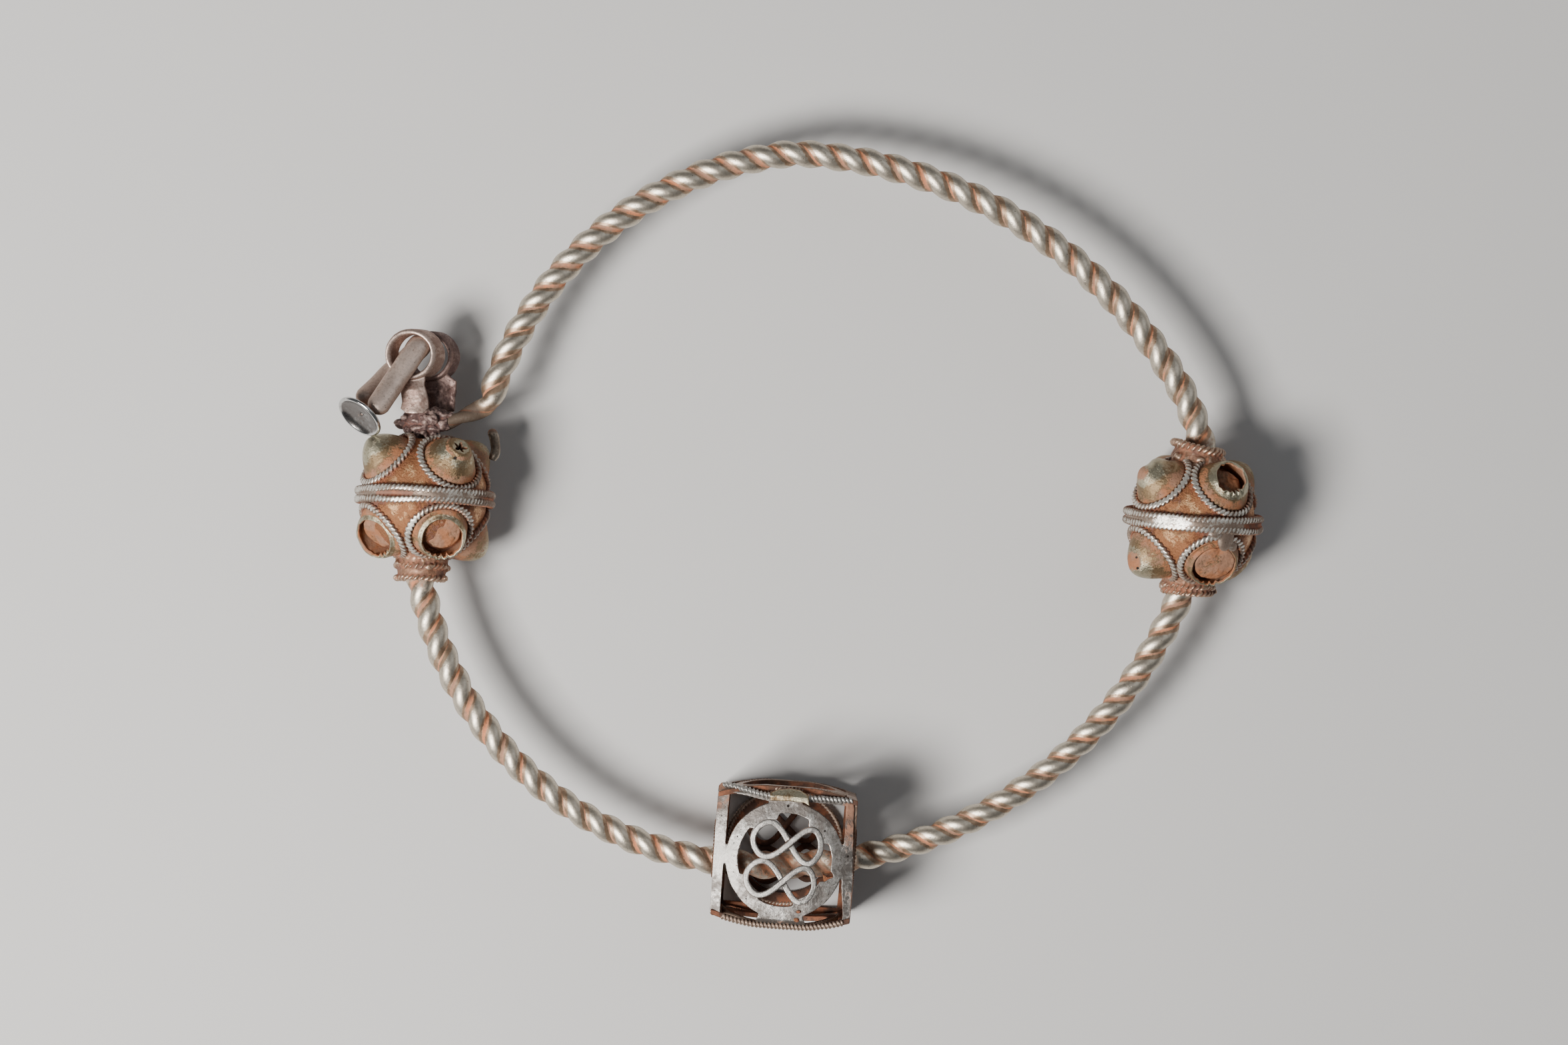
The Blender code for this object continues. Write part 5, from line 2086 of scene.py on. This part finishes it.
@dataclass
class Clasp:
    """Two eyes on leaves, a bent strap hung in them with its button, and the crust and stub beside them."""

    eye_inner: float = 1.72 * MM
    eye_outer: float = 2.15 * MM
    eye_lean: float = 0.6
    # Radius of the eyes' rounded lip.
    eye_roll: float = 0.25 * MM
    front_depth: float = 1.3 * MM
    back_depth: float = 1.05 * MM
    # Corners of the leaves, in millimetres from the middle of their eye.
    front_leaf: tuple[Point, ...] = (
        (-0.25, -1.75), (-0.85, -2.5), (-1.15, -3.2), (-1.05, -4.0), (-1.2, -4.55), (-0.7, -4.95),
        (0.8, -4.95), (1.2, -4.5), (1.15, -3.6), (0.85, -2.6), (0.95, -1.55),
    )
    back_leaf: tuple[Point, ...] = (
        (-0.9, -1.6), (-0.9, -2.4), (-1.0, -3.3), (-1.0, -4.6), (2.0, -4.6), (2.05, -3.4), (2.2, -2.1),
        (1.4, -1.5),
    )
    # The strap's line, in millimetres from the front eye's middle.
    strap_line: tuple[Point, ...] = (
        (-3.2, -4.95, 3.0), (-2.45, -3.75, 2.35), (-1.65, -2.45, 1.6), (-0.85, -1.15, 1.15),
        (-0.1, -0.05, 0.85), (0.4, 0.65, 0.45), (0.55, 0.85, 0.0), (0.4, 0.65, -0.5), (-0.3, 0.0, -0.85),
        (-1.3, -0.9, -0.95), (-2.3, -1.8, -0.8), (-3.2, -2.8, 0.0), (-3.95, -3.6, 0.85),
        (-4.35, -4.15, 1.35),
    )
    strap_width: float = 1.9 * MM
    strap_thickness: float = 1.3 * MM
    # Share of the full section at shares of the length.
    strap_ends: tuple[Point, ...] = (
        (0.0, 0.3), (0.012, 0.66), (0.028, 0.88), (0.05, 1.0), (0.95, 1.0), (0.972, 0.88), (0.988, 0.66),
        (1.0, 0.3),
    )
    button_radius: float = 2.12 * MM
    button_rim: float = 0.17 * MM
    button_normal: Point = (-0.54, -0.67, 0.51)
    stub_line: tuple[Point, ...] = (
        (-0.25, 1.35, -0.1), (0.02, 0.8, -0.12), (0.17, 0.1, -0.03), (0.17, -0.6, 0.06), (-0.08, -1.25, 0.12),
    )
    stub_width: float = 0.86 * MM
    stub_ends: tuple[Point, ...] = (
        (0.0, 0.35), (0.04, 0.72), (0.1, 0.92), (0.3, 1.0), (0.85, 0.95), (1.0, 0.7),
    )
    # Each lump of crust, as its place from the crust's middle and half its size each way, in millimetres.
    crust_lumps: tuple[Point, ...] = (
        (0.1, 0.0, 0.0, 1.9, 0.85, 1.3), (-1.5, -0.25, 0.0, 0.9, 0.45, 0.6),
        (-2.1, -0.1, 0.2, 0.42, 0.26, 0.3), (1.5, 0.1, 0.1, 0.95, 0.95, 1.0),
        (0.75, 0.5, 0.8, 0.45, 0.42, 0.45), (-0.75, 0.45, 0.6, 0.75, 0.6, 0.6),
        (-0.2, -0.6, 0.8, 0.9, 0.42, 0.6), (1.7, -0.45, 0.5, 0.6, 0.45, 0.5),
        (-1.0, -0.75, 0.5, 0.7, 0.36, 0.5), (0.9, -0.75, 0.7, 0.7, 0.4, 0.5),
        (0.1, -1.1, 1.0, 0.42, 0.3, 0.4), (0.9, -1.2, 0.8, 0.35, 0.3, 0.4),
        (-1.1, 0.3, 0.7, 0.6, 0.5, 0.6), (-0.3, 0.7, 0.9, 0.7, 0.4, 0.5),
        (0.5, 0.1, 1.1, 0.8, 0.5, 0.5), (-0.35, -1.3, 1.0, 0.3, 0.55, 0.4),
        (0.35, -1.5, 1.1, 0.28, 0.5, 0.4), (-0.6, 0.85, 1.0, 0.5, 0.3, 0.4),
        (0.2, 0.8, 1.1, 0.45, 0.28, 0.4), (2.1, 0.25, 0.3, 0.6, 0.4, 0.5),
    )

    def eye_centre(self, node: str) -> Vector:
        """Middle of an eye, which stands at the top of its node."""
        low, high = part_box(node)
        return Vector(((low.x + high.x) / 2.0, high.y - self.eye_outer, (low.z + high.z) / 2.0))

    def eye(self, node: str, depth: float, leaf: tuple[Point, ...], finish: Patina) -> None:
        """Makes one eye and the leaf below it.

        Args:
            node: Its CAD node.
            depth: Depth of the eye.
            leaf: Corners of the leaf.
            finish: Its finish.
        """
        inner, outer, back, roll = self.eye_inner, self.eye_outer, depth / 2.0, self.eye_roll
        lip = [
            (outer - roll * (1.0 - math.cos(turn)), back - roll * (1.0 - math.sin(turn)))
            for turn in np.linspace(1.1 * math.pi, -0.1 * math.pi, 9)
        ]
        neck = back - 1.7 * roll
        ring = turned([(inner, -back), (inner, neck), *lip, (outer, neck), (outer, -back)], 120)
        skin = Skin(ring)
        skin.points[:, 0] -= self.eye_lean * skin.points[:, 2]
        skin.write()
        plate = prism(metres(leaf), -0.36 * depth, 0.30 * depth)
        eye = fuse([ring, plate], 0.055 * MM, 4)
        skin = Skin(eye)
        below = ease(-1.9 * MM, -3.0 * MM, skin.points[:, 1])
        middle = np.interp(skin.points[:, 1], (-4.4 * MM, -2.0 * MM), (0.1 * MM, 0.2 * MM))
        crown = 1.0 - ((skin.points[:, 0] - middle) / (1.15 * MM)) ** 2
        skin.points[:, 2] += 0.24 * MM * below * np.clip(crown, -0.7, 1.0)
        skin.write()
        skin.roughen(1.1 * MM, 0.05 * MM)
        skin.push((0.05 if finish is CLASP_PALE else 0.14) * MM * below * skin.noise(0.6 * MM, 3))
        bent = skin.hollows(5)
        # Painted highlight: faces turned up are painted brighter, less so on the leaf.
        painted_highlight = 0.45 * (1.0 - 0.6 * below) * ease(0.5, 0.95, skin.normals()[:, 2])
        skin.weather(
            hollow=0.18 + 0.25 * below + 0.6 * np.maximum(bent, 0.0) + 0.2 * skin.noise(1.4 * MM, 2),
            worn=0.28 + painted_highlight - 0.45 * np.minimum(bent, 0.0) + 0.2 * skin.noise(1.0 * MM, 2),
        )
        move(eye, Matrix.Translation(self.eye_centre(node)))
        settle(eye, f"worn_{node}", finish, node)

    def strap(self) -> None:
        """Makes the rounded strap that is bent back on itself."""
        path = smooth_path(metres(self.strap_line), 120)
        lead = Vector(self.strap_line[0]) - Vector(self.strap_line[4])
        across = Vector((0.0, 0.0, 1.0)).cross(lead).normalized()
        bar = drawn(oval(self.strap_width, self.strap_thickness, 28), 160)
        sweep(bar, path, tuple(across), self.strap_ends)
        bar = fuse([bar], 0.07 * MM, 3)
        skin = Skin(bar)
        skin.roughen(1.6 * MM, 0.06 * MM, 2)
        # Painted highlight and shade: faces turned up are painted brighter, the sides darker, and the low
        # rear leg darker still.
        up = skin.normals()[:, 2]
        rear_shade = ease(0.9 * MM, -0.3 * MM, skin.points[:, 2] - 0.55 * np.abs(skin.points[:, 1]))
        skin.weather(
            hollow=0.20 + 0.34 * ease(0.5, -0.2, up) + 0.12 * rear_shade + 0.22 * skin.noise(2.2 * MM, 2),
            worn=0.18 + 0.50 * ease(0.50, 0.95, up) - 0.3 * rear_shade + 0.2 * skin.noise(1.5 * MM, 2),
        )
        move(bar, Matrix.Translation(self.eye_centre("clasp_front_eye")))
        settle(bar, "worn_clasp_strap", CLASP, "clasp_strap")

    def button(self) -> None:
        """Makes the dished button with its polished rim."""
        radius, rim = self.button_radius, self.button_rim
        profile = metres(((0.02, -0.42), (1.4, -0.38), (1.9, -0.18)))
        for turn in np.linspace(-0.9, 2.2, 12):
            profile.append((radius - rim + rim * math.cos(turn), 0.04 * MM + rim * math.sin(turn)))
        profile += metres(((1.66, 0.02), (1.3, -0.13), (0.7, -0.20), (0.02, -0.21)))
        disc = turned(profile, 120)
        apply(disc, "SUBSURF", levels=1, render_levels=1)
        skin = Skin(disc)
        skin.roughen(1.6 * MM, 0.025 * MM, 2)
        reach = skin.beside()
        # Painted shade: the underside is painted darker.
        under = ease(0.1, -0.5, skin.normals()[:, 2])
        patch = bump(skin.beside(-0.25 * MM, -0.35 * MM), 0.0, 0.75 * MM)
        # The rim is painted bright and the dish dull, partly polish and partly painted reflection.
        skin.weather(
            hollow=0.05 + 0.55 * patch + 0.45 * under + 0.15 * skin.noise(1.0 * MM, 2),
            worn=0.25 + 0.7 * ease(1.7 * MM, 1.95 * MM, reach) - 0.4 * under,
        )
        move(disc, Matrix.Translation(centre_of("clasp_button")) @ facing(Vector(self.button_normal)))
        settle(disc, "worn_clasp_button", DISH, "clasp_button")

    def crust(self) -> None:
        """Makes the lumps of old solder and dirt round the neck."""
        centre = centre_of("left_bead_neck_crust")
        lumps = []
        for x, y, z, wide, tall, deep in self.crust_lumps:
            place = (centre.x + x * MM, centre.y + y * MM, centre.z + z * MM)
            lumps.append(lump(place, (wide * MM, tall * MM, deep * MM), 0.4))
        crust = fuse(lumps, 0.06 * MM, 2)
        skin = Skin(crust)
        skin.roughen(0.45 * MM, 0.16 * MM, 4)
        bent = skin.hollows(5)
        away = skin.away((centre.x + 0.75 * MM, centre.y + 0.5 * MM, centre.z + 1.1 * MM))
        spot = bump(away, 0.0, 0.45 * MM)
        skin.weather(
            hollow=0.35 + 0.6 * bent + 0.3 * skin.noise(1.1 * MM, 2) - 0.6 * spot,
            worn=0.25 - 0.7 * bent + spot,
        )
        settle(crust, "worn_left_bead_neck_crust", CRUST, "left_bead_neck_crust")

    def stub(self) -> None:
        """Makes the broken stub of the hook."""
        path = smooth_path(metres(self.stub_line), 60)
        bar = drawn(oval(self.stub_width, 0.9 * self.stub_width, 24), 70)
        sweep(bar, path, (1.0, 0.0, 0.0), self.stub_ends)
        skin = Skin(bar)
        skin.roughen(0.7 * MM, 0.05 * MM)
        tip = ease(0.8 * MM, 1.3 * MM, skin.points[:, 1])
        skin.weather(
            hollow=0.25 + 0.5 * tip + 0.3 * skin.noise(0.8 * MM, 3),
            worn=0.5 + 0.3 * skin.noise(1.2 * MM, 2),
        )
        move(bar, Matrix.Translation(centre_of("hook_stub")))
        settle(bar, "worn_hook_stub", STUB, "hook_stub")

    def build(self) -> None:
        """Makes the whole clasp."""
        self.eye("clasp_front_eye", self.front_depth, self.front_leaf, CLASP_PALE)
        self.eye("clasp_back_eye", self.back_depth, self.back_leaf, CLASP_DARK)
        self.strap()
        self.button()
        self.crust()
        self.stub()


@dataclass
class Studio:
    """Floor, lights and camera."""

    floor_size: float = 1.2
    eye: tuple[float, float, float] = (-1.4 * MM, 1.1 * MM, 396.0 * MM)
    lens: float = 106.5
    key: tuple[float, float, float] = (-0.20, -0.10, 0.30)
    fill: tuple[float, float, float] = (0.26, 0.20, 0.30)
    sky: Colour = (0.55, 0.58, 0.62)
    sky_strength: float = 0.15

    def light(self, name: str, place: Point, size: float, power: float, colour: Colour) -> None:
        """A square soft light that faces the middle of the floor.

        Args:
            name: Its name.
            place: Where it hangs.
            size: Length of its sides.
            power: Watts.
            colour: Its colour.
        """
        deselect()
        turn = (-Vector(place)).to_track_quat("-Z", "Y").to_euler()
        bpy.ops.object.light_add(type="AREA", location=place, rotation=turn)
        lamp = bpy.context.active_object
        lamp.name = name
        lamp.data.size = size
        lamp.data.energy = power
        lamp.data.color = colour

    def build(self) -> None:
        """Sets out the floor, the lights and the camera."""
        deselect()
        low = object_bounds()[0].z
        bpy.ops.mesh.primitive_plane_add(size=self.floor_size, location=(0.0, 0.0, low - 0.01 * MM))
        floor = bpy.context.active_object
        floor.name = "floor"
        floor.data.materials.append(Paper().build())
        floor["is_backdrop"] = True
        world = bpy.data.worlds.new("studio")
        world.use_nodes = True
        world.node_tree.nodes["Background"].inputs["Color"].default_value = (*self.sky, 1.0)
        world.node_tree.nodes["Background"].inputs["Strength"].default_value = self.sky_strength
        bpy.context.scene.world = world
        self.light("key_light", self.key, 0.13, 2.7, (1.0, 0.97, 0.93))
        self.light("fill_light", self.fill, 0.30, 0.25, (0.94, 0.97, 1.0))
        deselect()
        bpy.ops.object.camera_add(location=self.eye, rotation=(0.0, 0.0, 0.0))
        camera = bpy.context.active_object
        camera.name = "camera"
        camera.data.lens = self.lens
        camera.data.sensor_width = 36.0
        camera.data.clip_start = 0.01
        bpy.context.scene.camera = camera


def left_bead() -> BossedBead:
    """The bead under the clasp, with two bosses broken open.

    Returns:
        The bead, ready to build.
    """
    whole, nippled, open_ = BossState.WHOLE, BossState.NIPPLED, BossState.OPEN
    return BossedBead(
        side="left", lean=math.radians(2.3), tilt=math.radians(2.8),
        first_azimuths={Row.UPPER: math.radians(-60.0), Row.LOWER: math.radians(-66.0)},
        states={Row.UPPER: (whole, nippled, whole, whole), Row.LOWER: (open_, open_, whole, whole)},
        dents={
            "upper_2": (Dent(2.95, 3.3, 0.15, 0.12),),
            "lower_1": (
                Dent(-4.7, -3.9, 0.55, 0.30, 0.9), Dent(-5.15, -3.0, 0.19, 0.25),
                Dent(-4.5, -4.6, 0.19, 0.25),
            ),
            "lower_3": (Dent(5.0, -4.0, 1.5, 0.35, 1.0),),
        },
        slants={"lower_1": 0.42, "lower_2": 0.30},
        nudges={"upper_2": math.radians(5.0), "lower_2": math.radians(2.0)},
        gap_place=math.radians(-24.0), gap_width=0.42, ropey_from=0.7,
        patches=((math.radians(-50.0), 0.0, 0.8, 0.75),),
        collars=(
            Collar(
                -1, rings=((2.06, 0.30, 5.80), (1.88, 0.29, 6.82)),
                knobs=(
                    (-75.0, 6.85, 0.40), (70.0, 6.75, 0.42), (20.0, 5.9, 0.4), (-60.0, 5.6, 0.45),
                    (95.0, 5.9, 0.4),
                ),
            ),
        ),
    )


def right_bead() -> BossedBead:
    """The bead across the hoop, with three bosses broken and one dented.

    Returns:
        The bead, ready to build.
    """
    whole, torn, wide, open_ = BossState.WHOLE, BossState.TORN, BossState.WIDE_OPEN, BossState.OPEN
    return BossedBead(
        side="right", lean=math.radians(4.0), tilt=math.radians(-4.0),
        first_azimuths={Row.UPPER: math.radians(-57.0), Row.LOWER: math.radians(-66.0)},
        states={Row.UPPER: (whole, torn, whole, whole), Row.LOWER: (whole, wide, open_, whole)},
        dents={
            "upper_1": (
                Dent(-2.3, 4.7, 0.55, 0.60), Dent(-4.3, 4.9, 0.6, 0.30), Dent(-3.5, 4.1, 0.7, 0.25),
                Dent(-4.6, 4.0, 0.9, 0.0, 0.8), Dent(-3.6, 5.6, 0.9, 0.0, 0.7),
            ),
            "lower_1": (
                Dent(-5.22, -3.25, 0.20, 0.08), Dent(-4.9, -4.1, 0.14, 0.05), Dent(-5.0, -3.2, 0.12, 0.04),
                Dent(-5.45, -3.5, 1.0, 0.05, 1.1),
            ),
        },
        slants={"upper_2": 0.25, "lower_2": 0.22}, nudges={},
        gap_place=math.radians(62.0), gap_width=0.40, ropey_from=0.6,
        patches=(
            (math.radians(27.0), math.radians(-11.0), 0.8, 1.15),
            (math.radians(17.0), math.radians(-8.0), 0.8, 0.42),
            (math.radians(36.0), math.radians(-19.0), 0.6, 0.5),
        ),
        collars=(
            Collar(
                -1, rings=((2.08, 0.28, 5.58), (2.0, 0.29, 6.1)),
                knobs=((-80.0, 5.7, 0.42), (40.0, 5.5, 0.4), (85.0, 5.9, 0.38)),
            ),
            Collar(
                1, rings=((2.0, 0.38, 6.08),),
                knobs=((-72.0, 6.42, 0.42), (-50.0, 5.3, 0.5), (60.0, 5.2, 0.5), (0.0, 5.1, 0.4)),
                foot=3.15 * MM, slope=math.radians(9.0),
            ),
        ),
    )


def main() -> None:
    """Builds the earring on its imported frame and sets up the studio."""
    logging.basicConfig(level=logging.INFO, format="%(name)s: %(message)s", stream=sys.stdout)
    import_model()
    Hoop().build()
    left_bead().build()
    right_bead().build()
    OpenworkBead().build()
    Clasp().build()
    Studio().build()


if __name__ == "__main__":
    main()
